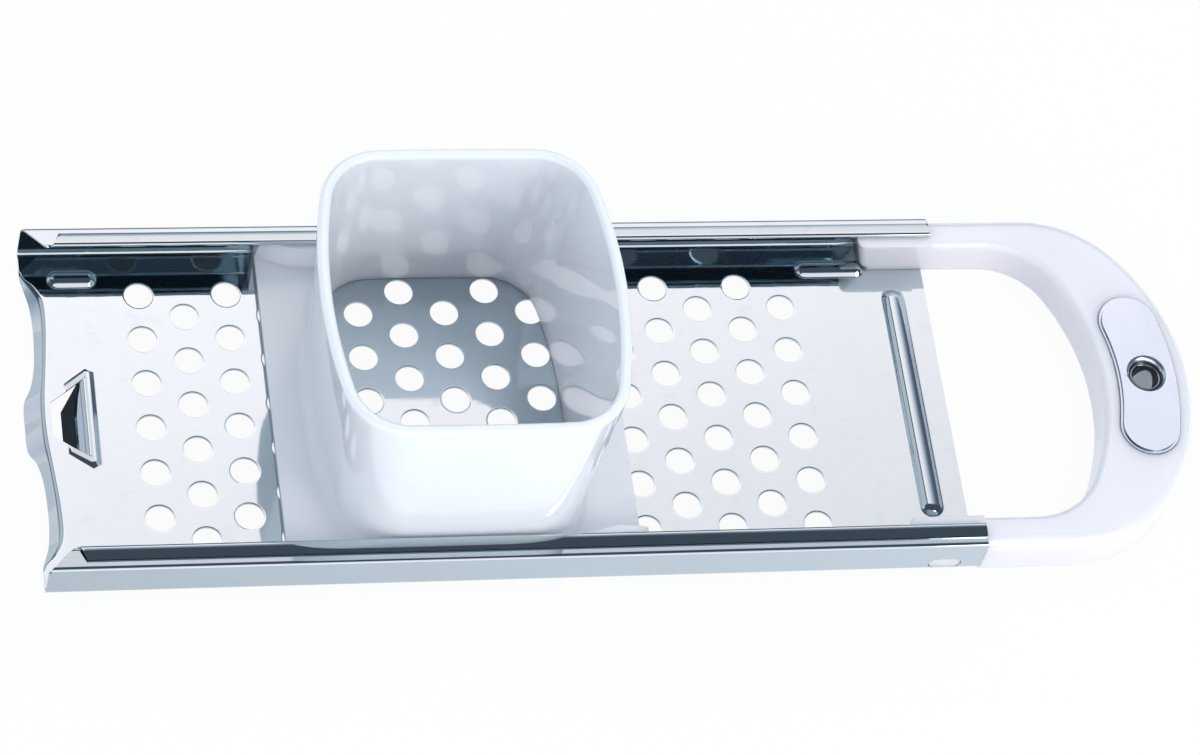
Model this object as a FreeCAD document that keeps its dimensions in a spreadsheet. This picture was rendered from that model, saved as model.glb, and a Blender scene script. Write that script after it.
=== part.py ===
import FreeCAD, Part
import math
import os

import Sketcher
from FreeCAD import Placement, Rotation, Vector

# A spaetzle maker: a perforated steel tray with folded rails, a dough hopper
# that slides along it, and a hoop handle clipped into the end of the rails.
#
# Frame: +X runs from the pot end to the handle, +Z up, the origin is the middle
# of the bounding box at its lowest point. All sizes are millimetres.

SIZES = {
    # steel tray, one pressed sheet
    "sheet_gauge": 0.8,
    "tray_length": 318.5,
    "tray_width": 132.0,
    "wall_height": 16.0,
    "flange_reach": 8.5,
    "flange_mitre": 8.5,
    "hem_reach": 5.2,
    "hem_mitre": 2.4,
    "hem_inset": 1.6,
    "bend_radius": 1.6,
    # round holes on a triangular grid
    "hole_diameter": 9.9,
    "column_pitch": 15.0,
    "row_pitch": 17.32,
    "column_pairs": 8.0,
    "row_count": 6.0,
    "first_column": 40.0,
    # turned-down lip at the pot end, deepest at its nose
    "nose_reach": 1.5,
    "nose_drop": 7.0,
    "lip_drop": 3.7,
    "lip_margin": 11.0,
    # pot hook lanced out of the floor
    "hook_root": 18.0,
    "hook_root_width": 27.4,
    "hook_tip_width": 11.0,
    "hook_length": 11.0,
    "tongue_run": 6.2,
    "tongue_drop": 5.8,
    "ridge_width": 3.8,
    "ridge_wrap": 3.6,
    "ridge_rise": 1.5,
    # pressed stops for the hopper, and the stiffening bead at the handle end
    "stop_rise": 1.8,
    "stop_width": 6.4,
    "stop_length": 16.5,
    "stop_inset": 9.5,
    "stop_margin": 11.5,
    "end_stop_length": 25.0,
    "end_stop_inset": 46.0,
    "bead_inset": 12.0,
    "bead_width": 8.0,
    "bead_margin": 20.5,
    "bead_rise": 2.0,
    # dough hopper
    "hopper_rest": 80.6,
    "hopper_length": 120.8,
    "hopper_plate": 3.0,
    "hopper_height": 80.0,
    "hopper_wall": 3.9,
    "rim_band": 2.5,
    "foot_setback": 1.0,
    "foot_length": 90.2,
    "foot_margin": 0.2,
    "foot_corner": 21.4,
    "rim_setback": 2.0,
    "rim_length": 102.4,
    "rim_draw": 2.3,
    "rim_corner": 21.5,
    "end_bow": 8.5,
    "side_bow": 1.0,
    "runner_width": 7.4,
    "runner_slope": 2.0,
    "runner_bevel": 1.6,
    "slide_gap": 0.3,
    "runner_gap": 0.9,
    "side_gap": 0.5,
    # hoop handle
    "handle_reach": 86.0,
    "handle_arm": 12.0,
    "handle_top": 15.0,
    "handle_sink": 1.5,
    "hoop_corner": 44.0,
    "hoop_crown": 8.0,
    "grip_width": 33.0,
    "grip_corner": 26.0,
    "grip_crown": 7.0,
    "prong_length": 26.0,
    "prong_gap": 0.2,
    "prong_root": 3.0,
    "outer_round": 5.0,
    "inner_round": 2.5,
    "underside_round": 1.5,
    # snap lug in its slot
    "slot_length": 11.5,
    "slot_height": 6.0,
    "slot_inset": 7.0,
    "slot_lift": 0.5,
    "lug_gap": 0.25,
    "lug_sink": 0.2,
    # inlay plate and hanging eyelet
    "inlay_inset": 6.2,
    "inlay_width": 21.2,
    "inlay_span": 42.0,
    "inlay_sweep": 85.0,
    "inlay_thickness": 3.2,
    "inlay_seat": 2.0,
    "inlay_ledge": 0.5,
    "hanging_bore": 9.2,
    "eyelet_wall": 0.5,
    "eyelet_lip": 0.6,
    "funnel_diameter": 14.0,
    "fit_gap": 0.1,
}

# The lip along half its width: distance from the middle as a share of its
# half width, how far the bend line lies inside the tray's end, how far the
# lip's edge reaches beyond the end, and its depth as a share of lip_drop. The
# nose in the middle takes its reach and depth from nose_reach and nose_drop.
LIP_STATIONS = (
    (0.00, 4.2, None, None),
    (0.17, 4.6, 1.2, 1.72),
    (0.27, 5.1, -1.4, 1.22),
    (0.42, 5.9, -3.0, 1.00),
    (0.66, 6.9, -3.6, 1.00),
    (0.84, 6.6, -2.9, 0.98),
    (0.94, 3.9, -1.4, 0.70),
    (1.00, 0.9, -0.2, 0.42),
)

# Sides of the ridge lean inward by this many degrees.
RIDGE_DRAFT = -35

document = FreeCAD.newDocument("spaetzle_maker")
sheet = document.addObject("Spreadsheet::Sheet", "sizes")
for row, (alias, number) in enumerate(SIZES.items(), start=1):
    sheet.set("A%d" % row, alias.replace("_", " "))
    sheet.set("B%d" % row, str(number))
    sheet.setAlias("B%d" % row, alias)
document.recompute()


class Size:
    """A length with the sheet expression that gives it."""

    def __init__(self, number, text):
        self.number = float(number)
        self.text = text

    @staticmethod
    def of(value):
        return value if isinstance(value, Size) else Size(value, repr(float(value)))

    def joined(self, other, sign, number):
        return Size(number, "(%s %s %s)" % (self.text, sign, other.text))

    def __add__(self, other):
        other = Size.of(other)
        return self.joined(other, "+", self.number + other.number)

    def __sub__(self, other):
        other = Size.of(other)
        return self.joined(other, "-", self.number - other.number)

    def __mul__(self, other):
        other = Size.of(other)
        return self.joined(other, "*", self.number * other.number)

    def __truediv__(self, other):
        other = Size.of(other)
        return self.joined(other, "/", self.number / other.number)

    def __radd__(self, other):
        return Size.of(other) + self

    def __rsub__(self, other):
        return Size.of(other) - self

    def __rmul__(self, other):
        return Size.of(other) * self

    def __neg__(self):
        return Size.of(0) - self

    def root(self):
        return Size(math.sqrt(self.number), "sqrt(%s)" % self.text)


def size(alias):
    """The driving size that the sheet keeps under this alias."""
    return Size(sheet.get(alias), "sizes." + alias)


gauge = size("sheet_gauge")
tray_width = size("tray_width")
half_width = tray_width / 2
tray_length = size("tray_length")
overall_length = size("nose_reach") + tray_length + size("handle_reach")
tray_start = size("nose_reach") - overall_length / 2
tray_end = tray_start + tray_length
floor_top = size("nose_drop")
floor_bottom = floor_top - gauge
flange_top = floor_top + size("wall_height")
flange_bottom = flange_top - gauge
flange_edge = half_width - size("flange_reach")
channel_half = half_width - gauge
stop_line = half_width - size("stop_margin")


# ---------------------------------------------------------------- helpers

def bind(feature, prop, value):
    """Ties one property of a feature to the sheet."""
    feature.setExpression(prop, Size.of(value).text)


def new_body(name):
    body = document.addObject("PartDesign::Body", name)
    body.Label = name
    return body


def origin_feature(body, role):
    for feature in body.Origin.OriginFeatures:
        if feature.Role == role:
            return feature
    raise ValueError("no origin feature " + role)


# Which way each origin plane's own normal runs along the part's axes.
PLANE_NORMAL = {"XY_Plane": 1, "YZ_Plane": 1, "XZ_Plane": -1}


def new_sketch(body, name, role, level):
    """A sketch parallel to an origin plane, at a level along the axis it faces."""
    sketch = body.newObject("Sketcher::SketchObject", name)
    sketch.AttachmentSupport = [(origin_feature(body, role), "")]
    sketch.MapMode = "FlatFace"
    offset = Size.of(level) * PLANE_NORMAL[role]
    sketch.AttachmentOffset = Placement(Vector(0, 0, offset.number), Rotation())
    bind(sketch, "AttachmentOffset.Base.z", offset)
    return sketch


def pin_one(sketch, kind, geometry, end, distance):
    """Fixes one distance from the sketch origin to a point of an edge."""
    distance = Size.of(distance)
    index = sketch.addConstraint(
        Sketcher.Constraint(kind, -1, 1, geometry, end, distance.number))
    sketch.setExpression("Constraints[%d]" % index, distance.text)


def pin_down(sketch, geometry, end, point):
    """Fixes a point of an edge: 1 is its start, 2 its end and 3 its centre."""
    pin_one(sketch, "DistanceX", geometry, end, point[0])
    pin_one(sketch, "DistanceY", geometry, end, point[1])


def set_radius(sketch, geometry, radius):
    radius = Size.of(radius)
    index = sketch.addConstraint(Sketcher.Constraint("Radius", geometry, radius.number))
    sketch.setExpression("Constraints[%d]" % index, radius.text)


def join(sketch, indices, kind="Coincident", closed=True):
    """Joins each edge's end to the next edge's start."""
    following = indices[1:] + indices[:1] if closed else indices[1:]
    for one, two in zip(indices, following):
        sketch.addConstraint(Sketcher.Constraint(kind, one, 2, two, 1))


def flat(point):
    """The plain vector of a point given in sizes."""
    return Vector(Size.of(point[0]).number, Size.of(point[1]).number, 0)


def polygon(sketch, points):
    """A closed outline of straight edges with every corner tied to the sheet."""
    indices = []
    for here, after in zip(points, points[1:] + points[:1]):
        indices.append(sketch.addGeometry(Part.LineSegment(flat(here), flat(after))))
        pin_down(sketch, indices[-1], 1, here)
    join(sketch, indices)


def circle(sketch, centre, radius):
    radius = Size.of(radius)
    index = sketch.addGeometry(Part.Circle(flat(centre), Vector(0, 0, 1), radius.number))
    pin_down(sketch, index, 3, centre)
    set_radius(sketch, index, radius)


def capsule(sketch, start, end, radius):
    """A straight slot whose round ends are centred on two points."""
    radius = Size.of(radius)
    first, last = flat(start), flat(end)
    along = (last - first).normalize() * radius.number
    side = Vector(-along.y, along.x, 0)
    indices = [sketch.addGeometry(edge) for edge in (
        Part.LineSegment(first - side, last - side),
        Part.Arc(last - side, last + along, last + side),
        Part.LineSegment(last + side, first + side),
        Part.Arc(first + side, first - along, first - side))]
    join(sketch, indices, "Tangent")
    pin_down(sketch, indices[1], 3, end)
    pin_down(sketch, indices[3], 3, start)
    set_radius(sketch, indices[1], radius)
    set_radius(sketch, indices[3], radius)


def pad(body, name, sketch, length, reverse=False):
    feature = body.newObject("PartDesign::Pad", name)
    feature.Profile = (sketch, [""])
    feature.Reversed = reverse
    bind(feature, "Length", length)
    body.Tip = feature
    return feature


def pocket(body, name, sketch, depth, upward=False):
    """Cuts a profile away against its plane's normal, or along it if upward."""
    document.recompute()
    before = body.Shape.Volume
    feature = body.newObject("PartDesign::Pocket", name)
    feature.Profile = (sketch, [""])
    feature.Reversed = upward
    bind(feature, "Length", depth)
    body.Tip = feature
    document.recompute()
    if body.Shape.Volume >= before:
        raise ValueError(name + " cuts nothing")
    return feature


def loft(body, name, sketches, subtractive=False):
    kind = "PartDesign::SubtractiveLoft" if subtractive else "PartDesign::AdditiveLoft"
    feature = body.newObject(kind, name)
    feature.Profile = (sketches[0], [""])
    feature.Sections = [(sketch, [""]) for sketch in sketches[1:]]
    feature.Ruled = True
    body.Tip = feature
    return feature


def fillet(body, name, radius, test):
    """Rounds the edges whose middle point and bounding box pass the test."""
    document.recompute()
    base = body.Tip
    names = []
    for number, edge in enumerate(base.Shape.Edges, start=1):
        middle = edge.valueAt((edge.FirstParameter + edge.LastParameter) / 2)
        if test(middle, edge.BoundBox):
            names.append("Edge%d" % number)
    feature = body.newObject("PartDesign::Fillet", name)
    feature.Base = (base, names)
    bind(feature, "Radius", radius)
    body.Tip = feature


def near(value, target):
    return abs(value - Size.of(target).number) < 0.02


def flat_at(box, level):
    """Whether an edge's box lies level at a height."""
    return near(box.ZMin, level) and near(box.ZMax, level)


def bowed_rectangle(sketch, middle, length, width, corner):
    """A rounded rectangle whose ends and sides swell outward a little."""
    half_x, half_y = length / 2, width / 2
    end_radius = half_y * half_y / (size("end_bow") * 2)
    side_radius = half_x * half_x / (size("side_bow") * 2)
    end_centre = Vector((half_x - end_radius).number, 0, 0)
    side_centre = Vector(0, (half_y - side_radius).number, 0)
    # A corner circle touches the end's circle and the side's circle from inside.
    to_end = (end_radius - corner).number
    to_side = (side_radius - corner).number
    between = side_centre - end_centre
    along = (to_end ** 2 - to_side ** 2 + between.Length ** 2) / (2 * between.Length)
    across = Vector(-between.y, between.x, 0).normalize() * math.sqrt(to_end ** 2 - along ** 2)
    corner_centre = end_centre + between.normalize() * along + across
    on_end = corner_centre + (corner_centre - end_centre).normalize() * corner.number
    on_side = corner_centre + (corner_centre - side_centre).normalize() * corner.number
    outward = (on_end + on_side - corner_centre * 2).normalize()
    on_corner = corner_centre + outward * corner.number

    def place(point, sign_x, sign_y):
        return Vector(point.x * sign_x + middle.number, point.y * sign_y, 0)

    corners = []
    ends = []
    indices = []
    tip = Vector(half_x.number, 0, 0)
    flank = Vector(0, half_y.number, 0)
    for sign_x, sign_y in ((1, 1), (-1, 1), (-1, -1), (1, -1)):
        starts_at_end = sign_x * sign_y > 0
        first, last = (on_end, on_side) if starts_at_end else (on_side, on_end)
        corners.append(sketch.addGeometry(Part.Arc(
            place(first, sign_x, sign_y), place(on_corner, sign_x, sign_y),
            place(last, sign_x, sign_y))))
        after_x, after_y = (-sign_x, sign_y) if starts_at_end else (sign_x, -sign_y)
        ends.append(sketch.addGeometry(Part.Arc(
            place(last, sign_x, sign_y), place(flank if starts_at_end else tip, sign_x, sign_y),
            place(last, after_x, after_y))))
        indices += [corners[-1], ends[-1]]
    join(sketch, indices, "Tangent")
    for index in corners:
        set_radius(sketch, index, corner)
    centres = ((middle, half_y - side_radius), (middle - half_x + end_radius, 0),
               (middle, side_radius - half_y), (middle + half_x - end_radius, 0))
    for index, centre, radius in zip(ends, centres, (side_radius, end_radius) * 2):
        pin_down(sketch, index, 3, centre)
        set_radius(sketch, index, radius)


# ---------------------------------------------------------------- steel tray

def channel_section(body):
    """Half of the folded sheet seen from the end: floor, wall, flange and hem."""
    sketch = new_sketch(body, "channel_section", "YZ_Plane", tray_start)
    inner = size("bend_radius")
    outer = inner + gauge
    hem_end = flange_edge + size("hem_reach")
    hem_top = flange_top + gauge
    # Each corner, with the centre of the bend that follows it.
    corners = (
        ((0, floor_bottom), None),
        ((half_width - outer, floor_bottom), (half_width - outer, floor_bottom + outer)),
        ((half_width, floor_bottom + outer), None),
        ((half_width, flange_top - outer), (half_width - outer, flange_top - outer)),
        ((half_width - outer, flange_top), None),
        ((hem_end, flange_top), None),
        ((hem_end, hem_top), None),
        ((flange_edge + gauge, hem_top), (flange_edge + gauge, flange_top)),
        ((flange_edge + gauge, flange_bottom), None),
        ((channel_half - inner, flange_bottom), (channel_half - inner, flange_bottom - inner)),
        ((channel_half, flange_bottom - inner), None),
        ((channel_half, floor_top + inner), (channel_half - inner, floor_top + inner)),
        ((channel_half - inner, floor_top), None),
        ((0, floor_top), None),
    )
    following = corners[1:] + corners[:1]
    indices = []
    for (start, centre), (end, _) in zip(corners, following):
        if centre is None:
            index = sketch.addGeometry(Part.LineSegment(flat(start), flat(end)))
        else:
            index = sketch.addGeometry(bend(flat(start), flat(end), flat(centre)))
            pin_one(sketch, "DistanceX", index, 3, centre[0])
        pin_down(sketch, index, end_at(sketch, index, start), start)
        indices.append(index)
    for one, two, (point, _) in zip(indices, indices[1:] + indices[:1], following):
        sketch.addConstraint(Sketcher.Constraint(
            "Coincident", one, end_at(sketch, one, point), two, end_at(sketch, two, point)))
    return sketch


def bend(start, end, centre):
    """The arc between two points about a centre, stored anticlockwise."""
    across = (start + end) / 2 - centre
    if across.Length < 1e-6:
        across = Vector(-1, 0, 0)
    middle = centre + across.normalize() * (start - centre).Length
    if (middle - start).cross(end - middle).z < 0:
        start, end = end, start
    return Part.Arc(start, middle, end)


def end_at(sketch, index, point):
    """Which end of a sketch edge lies at the point: 1 its start, 2 its end."""
    edge = sketch.Geometry[index]
    start_gap = (edge.StartPoint - flat(point)).Length
    end_gap = (edge.EndPoint - flat(point)).Length
    return 1 if start_gap < end_gap else 2


def wall_sketch(body, name, side, distance):
    """A sketch seen from the side, and whether the sketch faces the tray's middle."""
    return new_sketch(body, name, "XZ_Plane", distance * side), side > 0


def snap_outline(sketch, gap):
    """The snap slot's outline, drawn in by a gap."""
    radius = size("slot_height") / 2
    middle = floor_top + size("slot_lift") + radius
    end = tray_end - size("slot_inset") - radius
    start = end - size("slot_length") + radius * 2
    capsule(sketch, (start, middle), (end, middle), radius - gap)


def cut_mitres(body):
    """Cuts the rails' pot ends back at a slant, the folded hem a little more."""
    flanges = new_sketch(body, "flange_mitres", "XY_Plane", flange_top + gauge * 2)
    hems = new_sketch(body, "hem_mitres", "XY_Plane", flange_top + gauge * 2)
    reach = tray_start + size("flange_mitre")
    outside = half_width + gauge
    inside = flange_edge - gauge
    hem_start = reach + size("hem_inset")
    hem_end = hem_start + size("hem_mitre")
    for side in (1, -1):
        polygon(flanges, [
            (tray_start - gauge, outside * side), (tray_start, half_width * side),
            (reach, flange_edge * side), (reach, inside * side),
            (tray_start - gauge, inside * side)])
        polygon(hems, [
            (tray_start - gauge, outside * side), (hem_end, outside * side),
            (hem_end, (flange_edge + size("hem_reach")) * side),
            (hem_start, flange_edge * side), (reach, inside * side),
            (tray_start - gauge, inside * side)])
    pocket(body, "flange_mitre_cut", flanges, gauge * 5)
    pocket(body, "hem_mitre_cut", hems, gauge * 2)


def press(body, name, runs, width, rise):
    """Round-ended bulges pressed up out of the floor, hollow underneath."""
    radius = Size.of(width) / 2
    top = new_sketch(body, name + "_outline", "XY_Plane", floor_top)
    hollow = new_sketch(body, name + "_hollow_outline", "XY_Plane", floor_bottom)
    for start, end in runs:
        capsule(top, start, end, radius)
        capsule(hollow, start, end, radius - gauge)
    pad(body, name, top, rise)
    pocket(body, name + "_hollow", hollow, rise, upward=True)
    crown = floor_top + rise

    def on_outline(point, box):
        level = Vector(point.x, point.y, 0)
        reaches = (gap_to_run(level, flat(start), flat(end)) for start, end in runs)
        return flat_at(box, crown) and any(near(reach, radius) for reach in reaches)

    fillet(body, name + "_crown", rise * 0.85, on_outline)


def gap_to_run(point, start, end):
    """How far a point lies from a straight run."""
    along = end - start
    share = (point - start).dot(along) / along.dot(along)
    return (point - start - along * min(max(share, 0), 1)).Length


def press_stops_and_bead(body):
    """The hopper's stops on the rails, and the bead across the handle end."""
    radius = size("stop_width") / 2
    stops = []
    for side in (1, -1):
        line = stop_line * side
        for start, length in ((tray_start + size("stop_inset"), size("stop_length")),
                              (tray_end - size("end_stop_inset"), size("end_stop_length"))):
            stops.append(((start + radius, line), (start + length - radius, line)))
    press(body, "stops", stops, size("stop_width"), size("stop_rise"))

    bead_line = tray_end - size("bead_inset")
    reach = half_width - size("bead_margin") - size("bead_width") / 2
    press(body, "end_bead", [((bead_line, -reach), (bead_line, reach))],
          size("bead_width"), size("bead_rise"))


def make_pot_hook(body):
    """A tongue bent down out of the floor to grip a pot's rim, with its ridge."""
    root = tray_start + size("hook_root")
    root_half = size("hook_root_width") / 2
    tip_half = size("hook_tip_width") / 2
    opening_end = root - size("hook_length")
    ridge = size("ridge_width")
    ridge_top = floor_top + size("ridge_rise")

    raised = new_sketch(body, "ridge_outline", "XY_Plane", floor_top)
    wrap = root - size("ridge_wrap")
    polygon(raised, [(wrap, root_half), (root + ridge, root_half + ridge),
                     (root + ridge, -root_half - ridge), (wrap, -root_half)])
    ridge_pad = pad(body, "ridge", raised, size("ridge_rise"))
    ridge_pad.TaperAngle = RIDGE_DRAFT

    opening = new_sketch(body, "hook_opening_outline", "XY_Plane", ridge_top)
    polygon(opening, [(root, root_half), (opening_end, tip_half),
                      (opening_end, -tip_half), (root, -root_half)])
    pocket(body, "hook_opening", opening, size("ridge_rise") + gauge * 2)

    # The bent tongue is a slanted slab, so its level thickness is more than the gauge.
    slab = gauge * math.sqrt(2)
    tip_top = floor_top - size("tongue_drop")
    sections = []
    for name, place, half, top, depth in (
            ("tongue_root", root + gauge, root_half, floor_top, gauge),
            ("tongue_tip", root - size("tongue_run"), tip_half, tip_top, slab)):
        section = new_sketch(body, name, "YZ_Plane", place)
        polygon(section, [(-half, top - depth), (half, top - depth), (half, top), (-half, top)])
        sections.append(section)
    loft(body, "tongue", sections)


def turn_lip(body):
    """Bends the pot end of the floor down along a wavy line."""
    half_span = half_width - size("lip_margin")
    half = []
    for share, bend_inset, overhang, depth in LIP_STATIONS:
        bend_line = tray_start + bend_inset
        if depth is None:
            half.append((half_span * share, bend_line, tray_start - size("nose_reach"),
                         size("nose_drop")))
        else:
            half.append((half_span * share, bend_line, tray_start - overhang,
                         size("lip_drop") * depth))
    whole = [(-y, line, edge, drop) for y, line, edge, drop in reversed(half[1:])] + half

    clearance = new_sketch(body, "lip_clearance_outline", "XY_Plane", floor_top)
    beyond = tray_start - gauge
    polygon(clearance, [(line, y) for y, line, edge, drop in whole]
            + [(beyond, whole[-1][0]), (beyond, whole[0][0])])
    pocket(body, "lip_clearance", clearance, gauge)

    sections = []
    for number, (y, line, edge, drop) in enumerate(whole):
        tilt = math.atan2((drop - gauge).number, (line - edge).number)
        section = new_sketch(body, "lip_section_%d" % number, "XZ_Plane", y)
        root = line + gauge / 2
        polygon(section, [(root, floor_top),
                          (edge, floor_top - drop + gauge * math.cos(tilt)),
                          (edge + gauge * math.sin(tilt), floor_top - drop),
                          (root, floor_bottom)])
        sections.append(section)
    loft(body, "lip", sections)


def make_hole_grid(body, name, first, shift):
    """Every second column of holes: one hole, repeated along X and Y."""
    outline = new_sketch(body, name + "_outline", "XY_Plane", floor_top)
    top_row = size("row_pitch") * ((size("row_count") - 1) / 2 + shift)
    circle(outline, (first, top_row), size("hole_diameter") / 2)
    hole = pocket(body, name, outline, gauge)
    grid = body.newObject("PartDesign::LinearPattern", name + "_grid")
    grid.Originals = [hole]
    grid.Direction = (origin_feature(body, "X_Axis"), [""])
    grid.Direction2 = (origin_feature(body, "Y_Axis"), [""])
    grid.Reversed2 = True
    bind(grid, "Occurrences", size("column_pairs"))
    bind(grid, "Length", size("column_pitch") * 2 * (size("column_pairs") - 1))
    bind(grid, "Occurrences2", size("row_count"))
    bind(grid, "Length2", size("row_pitch") * (size("row_count") - 1))
    body.Tip = grid


def make_tray():
    body = new_body("tray")
    channel = pad(body, "channel", channel_section(body), tray_length)
    mirror = body.newObject("PartDesign::Mirrored", "both_rails")
    mirror.Originals = [channel]
    mirror.MirrorPlane = (origin_feature(body, "XZ_Plane"), [""])
    body.Tip = mirror
    cut_mitres(body)
    for side, word in ((1, "far"), (-1, "near")):
        sketch, faces_in = wall_sketch(body, word + "_slot_outline", side, half_width)
        snap_outline(sketch, 0)
        pocket(body, word + "_snap_slot", sketch, gauge + size("bend_radius"), upward=faces_in)
    press_stops_and_bead(body)
    make_pot_hook(body)
    turn_lip(body)
    first = tray_start + size("first_column")
    make_hole_grid(body, "even_holes", first, 0.25)
    make_hole_grid(body, "odd_holes", first + size("column_pitch"), -0.25)
    return body


# ---------------------------------------------------------------- dough hopper

hopper_start = tray_start + size("hopper_rest")
hopper_middle = hopper_start + size("hopper_length") / 2
hopper_bottom = floor_top + size("slide_gap")
plate_top = hopper_bottom + size("hopper_plate")
hopper_rim = floor_top + size("hopper_height")
runner_top = flange_bottom - size("runner_gap")
runner_outside = channel_half - size("side_gap")
runner_inside = runner_outside - size("runner_width")


def make_hopper():
    body = new_body("hopper")
    section = new_sketch(body, "base_section", "YZ_Plane", hopper_start)
    slope_foot = runner_inside - size("runner_slope")
    shoulder = runner_outside - size("runner_bevel")
    bevel_top = hopper_bottom + size("runner_bevel")
    half = [(shoulder, hopper_bottom), (runner_outside, bevel_top), (runner_outside, runner_top),
            (runner_inside, runner_top), (slope_foot, plate_top)]
    polygon(section, half + [(-y, z) for y, z in reversed(half)])
    pad(body, "base", section, size("hopper_length"))
    ends = (hopper_start, hopper_start + size("hopper_length"))
    fillet(body, "base_end_round", size("hopper_plate") * 0.8,
           lambda point, box: any(near(point.x, end) for end in ends)
           and box.XLength < 0.01 and box.ZMin > hopper_bottom.number + 1)

    # The cup's ends lean outward and its sides inward, up to its upright rim band.
    wall = size("hopper_wall")
    levels = (hopper_bottom, hopper_rim - size("rim_band"), hopper_rim)
    foot_middle = hopper_middle - size("foot_setback")
    foot_width = (runner_inside - size("foot_margin")) * 2
    foot = (foot_middle, size("foot_length"), foot_width, size("foot_corner"))
    rim = (foot_middle - size("rim_setback"), size("rim_length"),
           foot_width - size("rim_draw") * 2, size("rim_corner"))
    for name, inset, hollow in (("cup", 0, False), ("cavity", wall, True)):
        sections = []
        for word, level, outline in zip(("foot", "neck", "rim"), levels, (foot, rim, rim)):
            middle, length, width, corner = outline
            sections.append(new_sketch(body, "%s_%s" % (name, word), "XY_Plane", level))
            bowed_rectangle(sections[-1], middle, length - inset * 2, width - inset * 2,
                            corner - inset)
        loft(body, name, sections, subtractive=hollow)
    fillet(body, "rim_round", wall * 0.45, lambda point, box: flat_at(box, hopper_rim))
    return body


# ---------------------------------------------------------------- hoop handle

handle_bottom = floor_top - size("handle_sink")
handle_top = floor_top + size("handle_top")
handle_height = handle_top - handle_bottom
handle_back = tray_end + size("prong_gap")
handle_tip = tray_end + size("handle_reach")
arm_inside = half_width - size("handle_arm")
grip_inside = handle_tip - size("grip_width")

inlay_radius = size("inlay_width") / 2
inlay_middle = handle_tip - size("inlay_inset") - inlay_radius
inlay_bottom = handle_top - size("inlay_seat")
inlay_top = inlay_bottom + size("inlay_thickness")
bore_radius = size("hanging_bore") / 2
tube_radius = bore_radius + size("eyelet_wall")
flare_radius = tube_radius + size("eyelet_lip")
fit_gap = size("fit_gap")


def hoop_outline(sketch, back, tip, half, corner, crown):
    """An open U: straight arms, round corners and a wide end arc that crowns them."""
    side = half - corner
    depth = corner + crown
    begin = tip - depth
    end_radius = (depth * depth + side * side - corner * corner) / (crown * 2)
    end_centre = Vector((tip - end_radius).number, 0, 0)
    corner_centre = Vector(begin.number, side.number, 0)
    outward = (corner_centre - end_centre).normalize()
    meet = corner_centre + outward * corner.number
    middle = corner_centre + (outward + Vector(0, 1, 0)).normalize() * corner.number
    arm_end = Vector(begin.number, half.number, 0)
    arm_start = Vector(back.number, half.number, 0)

    def below(point):
        return Vector(point.x, -point.y, 0)

    indices = [sketch.addGeometry(edge) for edge in (
        Part.LineSegment(below(arm_start), below(arm_end)),
        Part.Arc(below(arm_end), below(middle), below(meet)),
        Part.Arc(below(meet), Vector(tip.number, 0, 0), meet),
        Part.Arc(meet, middle, arm_end),
        Part.LineSegment(arm_end, arm_start))]
    join(sketch, indices, "Tangent", closed=False)
    pin_down(sketch, indices[1], 3, (begin, -side))
    pin_down(sketch, indices[3], 3, (begin, side))
    for index, radius in zip(indices[1:4], (corner, end_radius, corner)):
        set_radius(sketch, index, radius)
    pin_down(sketch, indices[0], 1, (back, -half))
    pin_down(sketch, indices[4], 2, (back, half))
    return indices[0], indices[4]


def hoop_band(body):
    """The hoop's band between its outer and inner outlines."""
    sketch = new_sketch(body, "hoop_outline", "XY_Plane", handle_bottom)
    outer = hoop_outline(sketch, handle_back, handle_tip, half_width,
                         size("hoop_corner"), size("hoop_crown"))
    inner = hoop_outline(sketch, handle_back, grip_inside, arm_inside,
                         size("grip_corner"), size("grip_crown"))
    for outer_arm, inner_arm, end in ((outer[0], inner[0], 1), (outer[1], inner[1], 2)):
        ends = [sketch.getPoint(arm, end) for arm in (outer_arm, inner_arm)]
        bridge = sketch.addGeometry(Part.LineSegment(*ends))
        sketch.addConstraint(Sketcher.Constraint("Coincident", bridge, 1, outer_arm, end))
        sketch.addConstraint(Sketcher.Constraint("Coincident", bridge, 2, inner_arm, end))
    return sketch


def inlay_outline(body, name, level, grow):
    """A slot that follows an arc centred toward the tray, with round ends."""
    sketch = new_sketch(body, name, "XY_Plane", level)
    sweep = size("inlay_sweep")
    half = size("inlay_span") / 2
    radius = inlay_radius + grow
    centre = inlay_middle - sweep
    angle = math.asin(half.number / sweep.number)

    def on_arc(distance, turn):
        return Vector(centre.number + distance.number * math.cos(turn),
                      distance.number * math.sin(turn), 0)

    def cap(turn):
        along = Vector(-math.sin(turn), math.cos(turn), 0) * math.copysign(1, turn)
        return on_arc(sweep, turn) + along * radius.number

    outer, inner = sweep + radius, sweep - radius
    indices = [sketch.addGeometry(edge) for edge in (
        Part.Arc(on_arc(outer, -angle), on_arc(outer, 0), on_arc(outer, angle)),
        Part.Arc(on_arc(outer, angle), cap(angle), on_arc(inner, angle)),
        Part.Arc(on_arc(inner, -angle), on_arc(inner, 0), on_arc(inner, angle)),
        Part.Arc(on_arc(inner, -angle), cap(-angle), on_arc(outer, -angle)))]
    # Every arc is stored anticlockwise, so the inner edge runs against the others.
    ends = ((0, 2, 1, 1), (1, 2, 2, 2), (2, 1, 3, 1), (3, 2, 0, 1))
    for one, one_end, two, two_end in ends:
        sketch.addConstraint(Sketcher.Constraint(
            "Tangent", indices[one], one_end, indices[two], two_end))
    pin_down(sketch, indices[0], 3, (centre, 0))
    pin_down(sketch, indices[2], 3, (centre, 0))
    set_radius(sketch, indices[0], outer)
    set_radius(sketch, indices[2], inner)
    pin_one(sketch, "DistanceY", indices[1], 3, half)
    pin_one(sketch, "DistanceY", indices[3], 3, -half)
    return sketch


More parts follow.
